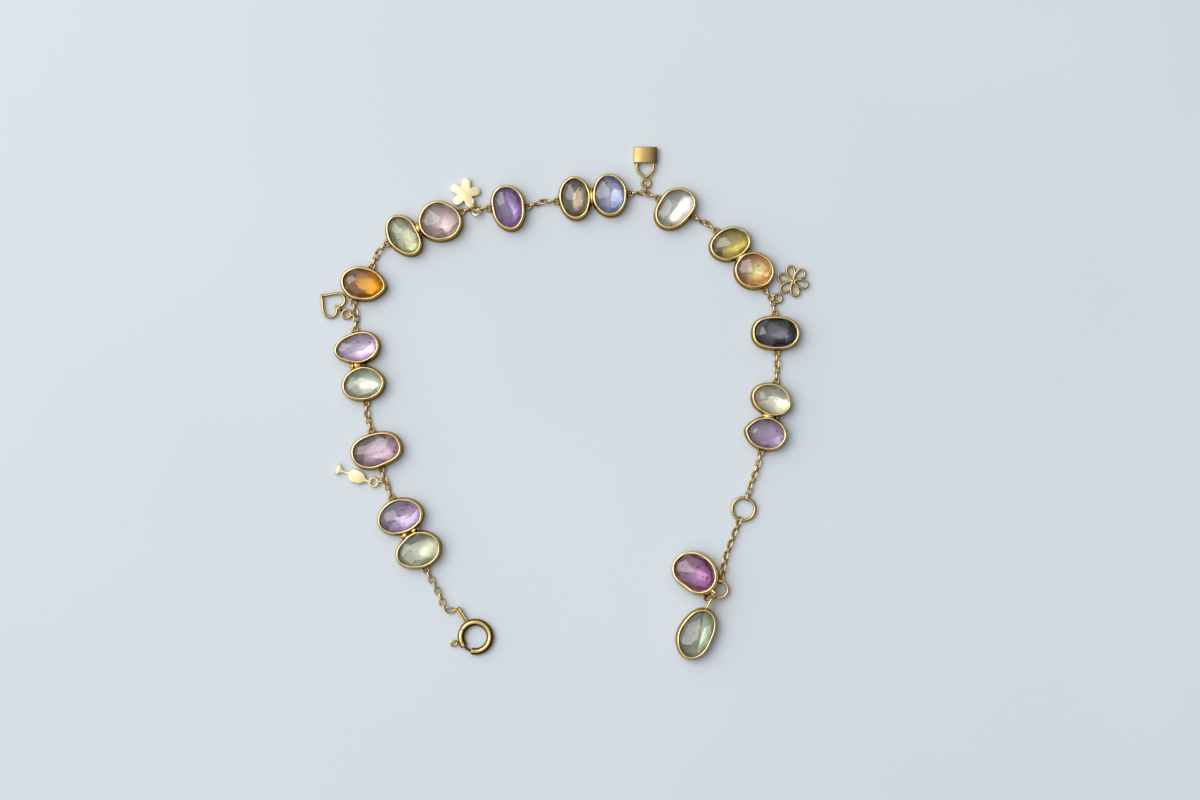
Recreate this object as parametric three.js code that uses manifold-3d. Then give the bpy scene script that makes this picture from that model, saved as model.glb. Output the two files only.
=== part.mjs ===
// A gemstone bracelet: nineteen rose-cut stones in yellow gold bezels, joined by fine cable chain,
// with five small charms, two drops on the end ring and a spring ring clasp. It lies unfastened on
// a flat surface, in an open loop.
//
// Millimetres, +Z up. The surface is z = 0 and the origin is under the middle of the whole bracelet.
// Gold that is soldered together is one solid. The chain's links are under a millimetre and a half
// long, so each stretch of chain is one tube along its route, as wide as a link.

import * as THREE from 'three';
import { ConvexGeometry } from 'three/addons/geometries/ConvexGeometry.js';
import { mergeVertices } from 'three/addons/utils/BufferGeometryUtils.js';
import Module from 'manifold-3d';

const wasm = await Module();
wasm.setup();

// ---------------------------------------------------------------- driving dimensions

const BEZEL = {
  height: 2.0,
  rim: 0.42, // width of the polished rim, from the stone's edge outwards
  flare: 0.12, // how much further out the foot of the wall stands
  seatHeight: 0.4, // the ledge inside that carries the stone
  seatWidth: 0.3,
  shoulder: 0.35, // how far below the top the rim starts to round over, outside
  lip: 0.15, // and inside
  corners: 20,
};
const STONE = {
  gap: 0.05, // between the stone and its bezel
  girdle: 1.65,
  top: 2.45,
  upper: { inset: 0.75, below: 0.25 }, // the middle tier of corners, from the edge and from the top
  crown: { inset: 1.6 }, // the facet on top
  corners: 10,
};
const BRIDGE = { width: 1.0, bottom: 0.3, top: 1.4 }; // the solder between two bezels
const CHAIN = { width: 1.0, height: 0.6, step: 2.5 }; // height is that of its middle line
const BAIL = { radius: 0.5, height: 1.8 }; // the drops' loops: half their height, and their middle
const LUG = { radius: 0.42, wire: 0.15, reach: 0.95 }; // the rings that chain hooks into
const CHARM = { thickness: 0.5, lift: 0.3, ringRadius: 0.77, ringWire: 0.18 };
const END_GAP = 0.15; // between a chain's tube and the ring that it hooks into

const GOLD = new THREE.MeshStandardMaterial({ color: 0xe3b555, metalness: 1, roughness: 0.22 });

// ---------------------------------------------------------------- tables

// One row per stone. The outline is an oval of length by width; turn is the direction of its narrow
// end, in degrees anticlockwise from +X; taper narrows that end, point sharpens it and square fills
// the corners. Each swell is a number of soft corners round the outline, how far they stand out, and
// the direction of one of them.
const STONES = {
  '01_lemon': {
    x: -22.18, y: -23.06, length: 6.24, width: 4.76, turn: 23,
    swells: [[3, 0.09, -31], [4, 0.03, 19]],
    color: 0xd9e29a,
  },
  '02_lilac': {
    x: -25.04, y: -17.86, length: 6.34, width: 4.64, turn: 19,
    swells: [[3, 0.05, -14]],
    color: 0xb08bd0,
  },
  '03_rose': {
    x: -28.79, y: -7.63, length: 7.05, width: 4.53, turn: 17, square: 2.3,
    swells: [[3, 0.04, 10], [4, 0.04, -8]],
    color: 0xc993b4,
  },
  '04_mint': {
    x: -30.8, y: 2.65, length: 5.8, width: 4.44, turn: 10, point: 0.15,
    swells: [[3, 0.06, -30]],
    color: 0xcfe0b8,
  },
  '05_lavender': {
    x: -31.78, y: 8.22, length: 6.22, width: 4.04, turn: 191, taper: 0.1,
    swells: [[3, 0.06, 58]],
    color: 0xb79ad6,
  },
  '06_amber': {
    x: -30.87, y: 18.15, length: 6.3, width: 4.41, turn: -10, point: 0.4,
    swells: [[3, 0.05, -1], [4, 0.02, 35]],
    color: 0xe08a1c,
  },
  '07_celadon': {
    x: -24.65, y: 25.68, length: 6.12, width: 4.0, turn: -56,
    swells: [[3, 0.08, -40], [4, 0.03, -32]],
    color: 0xcfdc9c,
  },
  '08_blush': {
    x: -19.01, y: 27.87, length: 5.95, width: 5.36, turn: -12,
    swells: [[3, 0.07, -17], [4, 0.03, 18]],
    color: 0xe6c4c0,
  },
  '09_amethyst': {
    x: -8.41, y: 29.98, length: 6.36, width: 4.37, turn: -78, taper: 0.06,
    swells: [[3, 0.03, 34], [4, 0.04, -42]],
    color: 0x8a5fb5,
  },
  '10_taupe': {
    x: 1.93, y: 31.5, length: 5.85, width: 4.15, turn: -85,
    swells: [[3, 0.03, 42]],
    color: 0xb99a86,
  },
  '11_periwinkle': {
    x: 7.32, y: 31.96, length: 5.8, width: 4.55, turn: -88,
    swells: [[4, 0.03, 32]],
    color: 0x8c9bd8,
  },
  '12_clear': {
    x: 17.44, y: 29.9, length: 6.45, width: 4.55, turn: 47,
    swells: [[3, 0.07, 0], [4, 0.06, 12]],
    color: 0xe9e6de,
  },
  '13_olive': {
    x: 26.0, y: 24.36, length: 5.72, width: 4.22, turn: 22,
    swells: [[4, 0.04, -3]],
    color: 0xb7b83a,
  },
  '14_peach': {
    x: 29.7, y: 20.22, length: 5.38, width: 4.89, turn: -13,
    swells: [[3, 0.03, -18]],
    color: 0xf0b98a,
  },
  '15_slate': { x: 33.02, y: 10.54, length: 6.52, width: 4.35, turn: -2, square: 2.4, color: 0x55536a },
  '16_citron': {
    x: 32.38, y: 0.19, length: 5.56, width: 4.21, turn: -22, point: 0.3,
    swells: [[3, 0.04, 55]],
    color: 0xdfe3a0,
  },
  '17_violet': {
    x: 31.48, y: -5.06, length: 5.68, width: 4.37, turn: 170, point: 0.35,
    swells: [[3, 0.06, 58]],
    color: 0x9a7cc4,
  },
  '18_magenta': {
    x: 20.69, y: -26.62, length: 6.69, width: 5.14, turn: -36,
    swells: [[3, 0.1, 55], [4, 0.06, 6]],
    color: 0xc0509a,
  },
  '19_sage': {
    x: 20.65, y: -35.93, length: 7.47, width: 4.59, turn: 64,
    swells: [[3, 0.1, 45], [4, 0.04, 14]],
    color: 0xb9cbab,
  },
};

// The stones that one soldered setting holds.
const SETTINGS = {
  setting_01_02: ['01_lemon', '02_lilac'],
  setting_03: ['03_rose'],
  setting_04_05: ['04_mint', '05_lavender'],
  setting_06: ['06_amber'],
  setting_07_08: ['07_celadon', '08_blush'],
  setting_09: ['09_amethyst'],
  setting_10_11: ['10_taupe', '11_periwinkle'],
  setting_12: ['12_clear'],
  setting_13_14: ['13_olive', '14_peach'],
  setting_15: ['15_slate'],
  setting_16_17: ['16_citron', '17_violet'],
};

// The two drops hang from bails, and lie here with their free ends on the surface. lift is how high
// the bail end's foot stands.
const DROPS = {
  setting_18_drop: { stone: '18_magenta', lift: 1.2, bail: { x: 23.65, y: -29.7, turn: -44, length: 1.5 } },
  setting_19_drop: { stone: '19_sage', lift: 0, bail: { x: 22.6, y: -31.2, turn: 62, length: 2.3 } },
};

// Rings that lie nearly flat. radius is that of the wire's middle line.
const RINGS = {
  ring_middle: { x: 28.0, y: -16.7, z: 0.55, radius: 1.75, wire: 0.25 },
  ring_end: { x: 24.25, y: -29.1, z: 0.8, radius: 1.27, wire: 0.22 },
};

// The jump ring that joins the two drops to the end ring. It leans: tip is the angle of its plane to
// the surface, about its long axis, whose direction is turn.
const DROPS_RING = { x: 22.9, y: -30.3, z: 1.03, radius: 1.0, wire: 0.18, turn: 27, tip: -57 };

// The spring ring clasp, closed. Angles are in degrees round its centre, anticlockwise from +X. The
// opening runs from the cut end of the sleeve to the socket at the ring's other end.
const CLASP = {
  x: -13.4,
  y: -36.4,
  z: 0.56,
  radius: 2.25, // middle line of the ring
  tube: 0.54, // radii of the tube, its bore and the bolt that slides in it
  bore: 0.33,
  bolt: 0.2,
  sleeveEnd: 220,
  socketEnd: 254,
  boreStart: 106,
  boltTail: 156,
  boltTip: 262,
  tab: 197,
  travel: 42, // how far the tab pulls the bolt back
  stem: { half: 4, clearance: 3, height: 0.2 },
  tail: { turn: 122, inner: 2.45, outer: 5.2, height: 1.04, width: 0.8 },
  tailEye: { inner: 3.5, outer: 4.85, radius: 0.26 },
  eyelet: { radius: 0.38, wire: 0.12, stretch: 1.3, standoff: 0.65 },
  arcStep: 15,
  overcut: 5, // how far the bore runs past the tube's cut ends
  socketDepth: 8, // beyond the bolt's tip
  slotRoom: 0.2, // the slot's height beyond the stem's
};
const TAIL_EYE = { x: -15.7, y: -32.7, radius: 1.0, wire: 0.25 };

// Charms, lying flat: where each one stands, its turn, and the centre of its ring.
const FLOWER = {
  x: -15.15,
  y: 32.3,
  turn: 10,
  petals: { count: 5, waist: 0.95, length: 1.35, fullness: 0.7, corners: 6 },
  ring: { x: -13.5, y: 31.5 },
};
const PADLOCK = {
  x: 12.85,
  y: 38.25,
  width: 3.7,
  height: 2.5,
  depth: 1.3,
  shackle: { half: 1.45, wire: 0.22, straight: 1.1, neck: 0.55, shoulder: 2.2, tip: 2.5 },
  ring: { x: 13.0, y: 34.0 },
};
const DAISY = {
  x: 35.8,
  y: 18.65,
  turn: -16,
  petals: { count: 6, radius: 0.6, wire: 0.17, long: 1.4, wide: 0.85, out: 1.4 },
  ring: { x: 33.95, y: 16.1 },
};
const GLASS = { x: -34.5, y: -10.6, turn: -21, ring: { x: -29.05, y: -12.5 } };
const HEART = {
  x: -36.0,
  y: 15.3,
  turn: -37,
  scale: 0.145,
  hole: 0.76, // the opening's size, as a part of the outline's
  stalk: 1.5,
  corners: 20,
  ring: { x: -33.5, y: 13.5 },
};

// One row per stretch of chain: what each end hooks into, and the points between. On a stone's bezel
// fromAt and toAt give the lug's direction from the stone's centre, in degrees anticlockwise from +X.
const CHAINS = {
  chain_01: { from: 'tail', via: [[-18.1, -32.1], [-18.8, -30.3], [-20, -28]], to: '01_lemon', toAt: -69 },
  chain_02: { from: '02_lilac', fromAt: 115, via: [[-27.25, -12.9]], to: '03_rose', toAt: -75 },
  chain_03: { from: '03_rose', fromAt: 104, via: [[-30.2, -2.4]], to: '04_mint', toAt: -82 },
  chain_04: { from: '05_lavender', fromAt: 97, via: [[-32.0, 13.1]], to: '06_amber', toAt: -119 },
  chain_05: { from: '06_amber', fromAt: 64, via: [[-28.7, 23.0]], to: '07_celadon', toAt: -155 },
  chain_06: { from: '08_blush', fromAt: 26, via: [[-13.8, 29.9]], to: '09_amethyst', toAt: 180 },
  chain_07: { from: '09_amethyst', fromAt: 6, via: [[-3.2, 30.95]], to: '10_taupe', toAt: -171 },
  chain_08: { from: '11_periwinkle', fromAt: 6, via: [[12.5, 32.4]], to: '12_clear', toAt: 149 },
  chain_09: { from: '12_clear', fromAt: -25, via: [[22.3, 27.6]], to: '13_olive', toAt: 136 },
  chain_10: { from: '14_peach', fromAt: -61, via: [[32.4, 15.8]], to: '15_slate', toAt: 93 },
  chain_11: { from: '15_slate', fromAt: -87, via: [[33.2, 5.4]], to: '16_citron', toAt: 77 },
  chain_12: { from: '17_violet', fromAt: -106, via: [[30.1, -10.3], [29.2, -12.7]], to: 'ring_middle' },
  chain_13: { from: 'ring_middle', via: [[26.25, -21.2], [25.15, -24.3]], to: 'ring_end' },
};

// ---------------------------------------------------------------- solids

const radians = THREE.MathUtils.degToRad;
const TAU = 2 * Math.PI;

// A closed geometry as a manifold-3d solid, and back.
function solidOf(geometry) {
  const bare = geometry.clone();
  bare.deleteAttribute('normal');
  bare.deleteAttribute('uv');
  const merged = mergeVertices(bare, 1e-4);
  return new wasm.Manifold(
    new wasm.Mesh({
      numProp: 3,
      vertProperties: merged.attributes.position.array,
      triVerts: new Uint32Array(merged.index.array),
    }),
  );
}

function geometryOf(solid) {
  const mesh = solid.getMesh();
  const geometry = new THREE.BufferGeometry();
  const places = new Float32Array(mesh.vertProperties);
  geometry.setAttribute('position', new THREE.BufferAttribute(places, 3));
  geometry.setIndex(new THREE.BufferAttribute(new Uint32Array(mesh.triVerts), 1));
  geometry.computeVertexNormals();
  return geometry;
}

// Geometries soldered into one.
function soldered(...geometries) {
  return geometryOf(geometries.map(solidOf).reduce((whole, next) => whole.add(next)));
}

// ---------------------------------------------------------------- outlines

const signedPower = (value, power) => Math.sign(value) * Math.abs(value) ** power;

// The point at angle t on a stone's outline, grown outwards by grow.
function outlinePoint(stone, t, grow) {
  const { x, y, length, width, turn, taper = 0, point = 0, square = 2, swells = [] } = stone;
  const along = signedPower(Math.cos(t), 2 / square);
  const across = signedPower(Math.sin(t), 2 / square);
  const narrowing = (1 - taper * along) * (1 - point * Math.max(along, 0) ** 4);
  const place = new THREE.Vector2((length / 2 + grow) * along, (width / 2 + grow) * across * narrowing);
  place.rotateAround(new THREE.Vector2(), radians(turn));
  const angle = place.angle();
  const swell = swells.reduce(
    (sum, [count, size, direction]) => sum + size * Math.cos(count * (angle - radians(direction))),
    0,
  );
  return place.add(new THREE.Vector2(x + swell * Math.cos(angle), y + swell * Math.sin(angle)));
}

// The place on a stone's grown outline that lies in a direction from the stone's centre.
function outlineTowards(stone, direction, grow) {
  const centre = new THREE.Vector2(stone.x, stone.y);
  const aim = new THREE.Vector2(Math.cos(direction), Math.sin(direction));
  const aside = (place) => Math.abs(place.clone().sub(centre).angleTo(aim));
  const places = Array.from({ length: 360 }, (_, i) => outlinePoint(stone, (TAU * i) / 360, grow));
  return places.reduce((best, place) => (aside(place) < aside(best) ? place : best));
}

// ---------------------------------------------------------------- simple bodies

// A flat ring of round wire, lying in the plane z.
function wireRing(x, y, z, radius, wire, corners = 14) {
  return new THREE.TorusGeometry(radius, wire, 6, corners).translate(x, y, z);
}

// A round bar of the given number of sides along a curve, with closed ends.
function bar(curve, radius, steps, sides = 8) {
  const corners = Array.from({ length: sides }, (_, i) => (TAU * (i + 0.5)) / sides);
  const section = new THREE.Shape(
    corners.map((a) => new THREE.Vector2(radius * Math.cos(a), radius * Math.sin(a))),
  );
  return new THREE.ExtrudeGeometry(section, { steps, extrudePath: curve });
}

// A curve through points that all lie at height z.
function levelCurve(points, z) {
  return new THREE.CatmullRomCurve3(points.map((p) => new THREE.Vector3(p.x, p.y, z)), false, 'centripetal');
}

// A flat plate: a shape in its own plane, turned and set down with its underside at z.
function plate(shape, thickness, { x, y, z, turn }) {
  return new THREE.ExtrudeGeometry(shape, { depth: thickness, bevelEnabled: false, curveSegments: 4 })
    .rotateZ(radians(turn))
    .translate(x, y, z);
}

// ---------------------------------------------------------------- stones and settings

// A bezel is turned on the lathe as a round cup with an open back, and then pressed to its stone's
// outline. Each profile point says how far out from the stone's edge it is, and how high.
function bezel(stone) {
  const { height, rim, flare, seatHeight, seatWidth, shoulder, lip, corners } = BEZEL;
  const profile = [
    { out: rim + flare, z: 0 },
    { out: rim, z: height - shoulder },
    { out: rim / 2, z: height },
    { out: 0, z: height - lip },
    { out: 0, z: seatHeight },
    { out: -seatWidth, z: seatHeight },
    { out: -seatWidth, z: 0 },
    { out: rim + flare, z: 0 },
  ];
  const cup = 10; // radius of the round cup before it is pressed
  const turned = profile.map((p) => new THREE.Vector2(cup + p.out, p.z));
  const geometry = new THREE.LatheGeometry(turned, corners).rotateX(Math.PI / 2);
  const position = geometry.attributes.position;
  for (let i = 0; i < position.count; i += 1) {
    const t = Math.atan2(position.getY(i), position.getX(i));
    const pressed = outlinePoint(stone, t, Math.hypot(position.getX(i), position.getY(i)) - cup);
    position.setXY(i, pressed.x, pressed.y);
  }
  return geometry;
}

// A rose cut: a flat back and a low dome of facets.
function roseCut(stone) {
  const { gap, girdle, top, upper, crown, corners: sides } = STONE;
  const tiers = [
    { out: -gap, z: BEZEL.seatHeight + gap, corners: sides },
    { out: -gap, z: girdle, corners: sides },
    { out: -upper.inset, z: top - upper.below, corners: sides / 2 },
    { out: -crown.inset, z: top, corners: sides / 2 },
  ];
  const points = tiers.flatMap(({ out, z, corners }) =>
    Array.from({ length: corners }, (_, i) => {
      const p = outlinePoint(stone, (TAU * i) / corners, out);
      return new THREE.Vector3(p.x, p.y, z);
    }),
  );
  return new ConvexGeometry(points);
}

// The centre of the small ring that is soldered to a bezel for a chain to hook into.
const lugCentre = (stone, at) => outlineTowards(stone, radians(at), LUG.reach);

function lug(stone, at) {
  const centre = lugCentre(stone, at);
  const ring = new THREE.TorusGeometry(LUG.radius, LUG.wire, 5, 8);
  return ring.translate(centre.x, centre.y, CHAIN.height);
}

// A bar of solder between the walls of two bezels.
function bridge(stoneA, stoneB) {
  const inWall = BEZEL.rim / 2;
  const direction = new THREE.Vector2(stoneB.x - stoneA.x, stoneB.y - stoneA.y).angle();
  const a = outlineTowards(stoneA, direction, inWall);
  const b = outlineTowards(stoneB, direction + Math.PI, inWall);
  const span = b.clone().sub(a);
  const middle = a.clone().add(b).divideScalar(2);
  return new THREE.BoxGeometry(span.length(), BRIDGE.width, BRIDGE.top - BRIDGE.bottom)
    .rotateZ(span.angle())
    .translate(middle.x, middle.y, (BRIDGE.top + BRIDGE.bottom) / 2);
}

// The directions of a stone's lugs: one for each chain that hooks into its bezel.
function lugDirections(stoneName) {
  return Object.values(CHAINS).flatMap(({ from, fromAt, to, toAt }) => [
    ...(from === stoneName ? [fromAt] : []),
    ...(to === stoneName ? [toAt] : []),
  ]);
}

function setting(stoneNames) {
  const parts = stoneNames.flatMap((name) => [
    bezel(STONES[name]),
    ...lugDirections(name).map((at) => lug(STONES[name], at)),
  ]);
  if (stoneNames.length === 2) parts.push(bridge(...stoneNames.map((name) => STONES[name])));
  return soldered(...parts);
}

// A bail: a narrow loop of wire that stands on edge.
function bail({ x, y, turn, length }) {
  return new THREE.TorusGeometry(BAIL.radius, LUG.wire, 5, 10)
    .rotateX(Math.PI / 2)
    .scale((length / 2 - LUG.wire) / BAIL.radius, 1, 1)
    .rotateZ(radians(turn))
    .translate(x, y, BAIL.height);
}

// ---------------------------------------------------------------- chain

// Where a chain's tube ends: beside the lug or the ring that its last link hooks into.
function chainEnd(anchor, at, via) {
  const target = new THREE.Vector2(...via);
  const stone = STONES[anchor];
  const eye = RINGS[anchor] ?? TAIL_EYE;
  const centre = stone ? lugCentre(stone, at) : new THREE.Vector2(eye.x, eye.y);
  const reach = stone ? LUG.radius + LUG.wire + END_GAP : eye.radius + eye.wire + END_GAP;
  return centre.add(target.clone().sub(centre).setLength(reach));
}

function chainTube({ from, fromAt, via, to, toAt }) {
  const points = [
    chainEnd(from, fromAt, via[0]),
    ...via.map((p) => new THREE.Vector2(...p)),
    chainEnd(to, toAt, via.at(-1)),
  ];
  const curve = levelCurve(points, CHAIN.height);
  return bar(curve, CHAIN.width / 2, Math.ceil(curve.getLength() / CHAIN.step));
}

function dropsRing() {
  const { x, y, z, radius, wire, turn, tip } = DROPS_RING;
  return new THREE.TorusGeometry(radius, wire, 6, 14)
    .rotateX(radians(tip))
    .rotateZ(radians(turn))
    .translate(x, y, z);
}

// ---------------------------------------------------------------- charms

// A charm's own ring, which a small link of the chain passes through.
function charmRing({ x, y }) {
  return wireRing(x, y, CHARM.lift + CHARM.thickness / 2, CHARM.ringRadius, CHARM.ringWire, 12);
}

function flowerCharm() {
  const { count, waist, length, fullness, corners } = FLOWER.petals;
  const outline = Array.from({ length: count * corners }, (_, i) => {
    const angle = (TAU * i) / (count * corners);
    const radius = waist + length * Math.abs(Math.cos((count * angle) / 2)) ** fullness;
    return new THREE.Vector2(radius * Math.cos(angle), radius * Math.sin(angle));
  });
  return soldered(
    plate(new THREE.Shape(outline), CHARM.thickness, { ...FLOWER, z: CHARM.lift }),
    charmRing(FLOWER.ring),
  );
}

// The outline is the well-known heart curve, whose own coefficients these are.
function heartCharm() {
  const heart = (scale) =>
    Array.from({ length: HEART.corners }, (_, i) => {
      const t = (TAU * (i + 0.5)) / HEART.corners;
      const along = 13 * Math.cos(t) - 5 * Math.cos(2 * t) - 2 * Math.cos(3 * t) - Math.cos(4 * t);
      return new THREE.Vector2(scale * (along + 2), scale * 16 * Math.sin(t) ** 3);
    });
  const shape = new THREE.Shape(heart(HEART.scale));
  shape.holes.push(new THREE.Path(heart(HEART.scale * HEART.hole)));
  const stalk = new THREE.BoxGeometry(HEART.stalk, 2 * CHARM.ringWire, 2 * CHARM.ringWire)
    .rotateZ(radians(HEART.turn))
    .translate((HEART.x + HEART.ring.x) / 2, (HEART.y + HEART.ring.y) / 2, CHARM.lift + CHARM.thickness / 2);
  return soldered(
    plate(shape, CHARM.thickness, { ...HEART, z: CHARM.lift }),
    stalk,
    charmRing(HEART.ring),
  );
}

function daisyCharm() {
  const { count, radius, wire, long, wide, out } = DAISY.petals;
  const petals = Array.from({ length: count }, (_, i) =>
    new THREE.TorusGeometry(radius, wire, 4, 9)
      .scale(long, wide, 1)
      .translate(out, 0, 0)
      .rotateZ(radians(DAISY.turn) + (TAU * i) / count)
      .translate(DAISY.x, DAISY.y, CHARM.lift + CHARM.thickness / 2),
  );
  return soldered(...petals, charmRing(DAISY.ring));
}

// A flat stamped glass, drawn along its axis from foot to rim: how far along, and half its width.
function wineGlassCharm() {
  const side = [
    { along: 0, half: 0.95 },
    { along: 0.15, half: 0.9 },
    { along: 0.55, half: 0.17 },
    { along: 1.85, half: 0.17 },
    { along: 2.15, half: 0.75 },
    { along: 2.75, half: 1.14 },
    { along: 3.5, half: 1.17 },
    { along: 4.2, half: 0.8 },
    { along: 4.6, half: 0.25 },
    { along: 5.2, half: 0.22 },
  ];
  const upper = side.map((p) => new THREE.Vector2(p.along, p.half));
  const lower = side.map((p) => new THREE.Vector2(p.along, -p.half)).reverse();
  return soldered(
    plate(new THREE.Shape([...lower, ...upper]), CHARM.thickness, { ...GLASS, z: CHARM.lift }),
    charmRing(GLASS.ring),
  );
}

function padlockCharm() {
  const { x, y, width, height, depth } = PADLOCK;
  const { half, wire, straight, neck, shoulder, tip } = PADLOCK.shackle;
  const body = new THREE.BoxGeometry(width, height, depth).translate(x, y, depth / 2);
  const legs = [
    { dx: -half, down: 0 },
    { dx: -half, down: straight },
    { dx: -neck, down: shoulder },
    { dx: 0, down: tip },
    { dx: neck, down: shoulder },
    { dx: half, down: straight },
    { dx: half, down: 0 },
  ].map(({ dx, down }) => new THREE.Vector2(x + dx, y - height / 2 + wire - down));
  return soldered(body, bar(levelCurve(legs, depth / 2), wire, 12, 6), charmRing(PADLOCK.ring));
}

// ---------------------------------------------------------------- spring ring clasp

// A bar bent along an arc of the clasp's middle line, between two angles in degrees.
function claspArc(fromAngle, toAngle, radius) {
  const steps = Math.ceil((toAngle - fromAngle) / CLASP.arcStep);
  const points = Array.from({ length: steps + 1 }, (_, i) => {
    const angle = radians(fromAngle + ((toAngle - fromAngle) * i) / steps);
    return new THREE.Vector2(
      CLASP.x + CLASP.radius * Math.cos(angle),
      CLASP.y + CLASP.radius * Math.sin(angle),
    );
  });
  return bar(levelCurve(points, CLASP.z), radius, steps);
}

// A flat sector of a ring round the clasp's centre, for the tab's stem and for the slot it runs in.
function claspSector(fromAngle, toAngle, inner, outer, height) {
  const shape = new THREE.Shape();
  shape.absarc(0, 0, outer, radians(fromAngle), radians(toAngle), false);
  shape.absarc(0, 0, inner, radians(toAngle), radians(fromAngle), true);
  return plate(shape, height, { x: CLASP.x, y: CLASP.y, z: CLASP.z - height / 2, turn: 0 });
}

// The band that is folded round the clasp's ring and makes the eye for the chain, standing on edge.
function claspTail() {
  const { inner, outer, height, width, turn } = CLASP.tail;
  const eye = CLASP.tailEye;
  const shape = new THREE.Shape();
  shape.absarc(outer - height / 2, 0, height / 2, -Math.PI / 2, Math.PI / 2, false);
  shape.lineTo(inner, height / 2);
  shape.lineTo(inner, -height / 2);
  const hole = new THREE.Path();
  hole.absarc(eye.outer - eye.radius, 0, eye.radius, -Math.PI / 2, Math.PI / 2, false);
  hole.absarc(eye.inner + eye.radius, 0, eye.radius, Math.PI / 2, 1.5 * Math.PI, false);
  shape.holes.push(hole);
  return new THREE.ExtrudeGeometry(shape, { depth: width, bevelEnabled: false, curveSegments: 4 })
    .translate(0, 0, -width / 2)
    .rotateX(Math.PI / 2)
    .rotateZ(radians(turn))
    .translate(CLASP.x, CLASP.y, CLASP.z);
}

function claspBody() {
  const { sleeveEnd, socketEnd, boreStart, boltTip, tab, travel, stem, overcut } = CLASP;
  const tube = claspArc(socketEnd, sleeveEnd + 360, CLASP.tube);
  const bore = claspArc(boreStart, sleeveEnd + overcut, CLASP.bore);
  const socket = claspArc(socketEnd - overcut, boltTip + CLASP.socketDepth, CLASP.bore);
  const slot = claspSector(
    tab - travel - stem.half - stem.clearance,
    tab + stem.half + stem.clearance,
    CLASP.radius,
    CLASP.radius + 2 * CLASP.tube,
    stem.height + CLASP.slotRoom,
  );
  const shell = [bore, socket, slot].map(solidOf).reduce((rest, cut) => rest.subtract(cut), solidOf(tube));
  return geometryOf(shell.add(solidOf(claspTail())));
}

function claspBolt() {
  const { tab, stem, eyelet: { radius, wire, stretch, standoff } } = CLASP;
  const reach = CLASP.radius + CLASP.tube + standoff;
  const eyelet = new THREE.TorusGeometry(radius, wire, 5, 10)
    .scale(stretch, 1, 1)
    .translate(reach, 0, 0)
    .rotateZ(radians(tab))
    .translate(CLASP.x, CLASP.y, CLASP.z);
  return soldered(
    claspArc(CLASP.boltTail, CLASP.boltTip, CLASP.bolt),
    claspSector(tab - stem.half, tab + stem.half, CLASP.radius, reach - stretch * radius, stem.height),
    eyelet,
  );
}

// ---------------------------------------------------------------- the bracelet

const bracelet = new THREE.Group();

function addPiece(name, geometry, material = GOLD, parent = bracelet) {
  const piece = new THREE.Mesh(geometry, material);
  piece.name = name;
  parent.add(piece);
}

function addStone(name, parent) {
  const gem = new THREE.MeshStandardMaterial({ color: STONES[name].color, roughness: 0.1 });
  addPiece(`stone_${name}`, roseCut(STONES[name]), gem, parent);
}

for (const [name, stoneNames] of Object.entries(SETTINGS)) {
  addPiece(name, setting(stoneNames));
  stoneNames.forEach((stoneName) => addStone(stoneName));
}

// A drop is modelled level, and then tipped about the foot of its free end.
for (const [name, drop] of Object.entries(DROPS)) {
  const stone = STONES[drop.stone];
  const direction = new THREE.Vector3(Math.cos(radians(stone.turn)), Math.sin(radians(stone.turn)), 0);
  const reach = stone.length / 2 + BEZEL.rim + BEZEL.flare;
  const tipped = new THREE.Group();
  tipped.position.set(stone.x, stone.y, 0).addScaledVector(direction, -reach);
  tipped.quaternion.setFromAxisAngle(
    new THREE.Vector3(direction.y, -direction.x, 0),
    Math.asin(drop.lift / (2 * reach)),
  );
  const level = new THREE.Group();
  level.position.copy(tipped.position).negate();
  tipped.add(level);
  bracelet.add(tipped);
  addPiece(name, soldered(bezel(stone), bail(drop.bail)), GOLD, level);
  addStone(drop.stone, level);
}

for (const [name, chain] of Object.entries(CHAINS)) addPiece(name, chainTube(chain));
for (const [name, ring] of Object.entries(RINGS)) {
  addPiece(name, wireRing(ring.x, ring.y, ring.z, ring.radius, ring.wire));
}
addPiece('ring_drops', dropsRing());

addPiece('charm_flower', flowerCharm());
addPiece('charm_padlock', padlockCharm());
addPiece('charm_daisy', daisyCharm());
addPiece('charm_wine_glass', wineGlassCharm());
addPiece('charm_heart', heartCharm());

addPiece('clasp_body', claspBody());
addPiece('clasp_bolt', claspBolt());

export default bracelet;
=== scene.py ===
# %% [markdown]
# # A gemstone bracelet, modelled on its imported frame
# Nineteen rose-cut stones sit in yellow gold bezels on a fine cable chain, with five small charms,
# two drops on the end ring and a spring ring clasp. The engineering model already says where
# everything is. This lesson gives each piece its true surface: pressed gold cups, cut stones, real
# chain links and soft daylight.

# %% Load the frame
import math
import random

import bmesh
import bpy
from mathutils import Matrix, Vector


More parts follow.
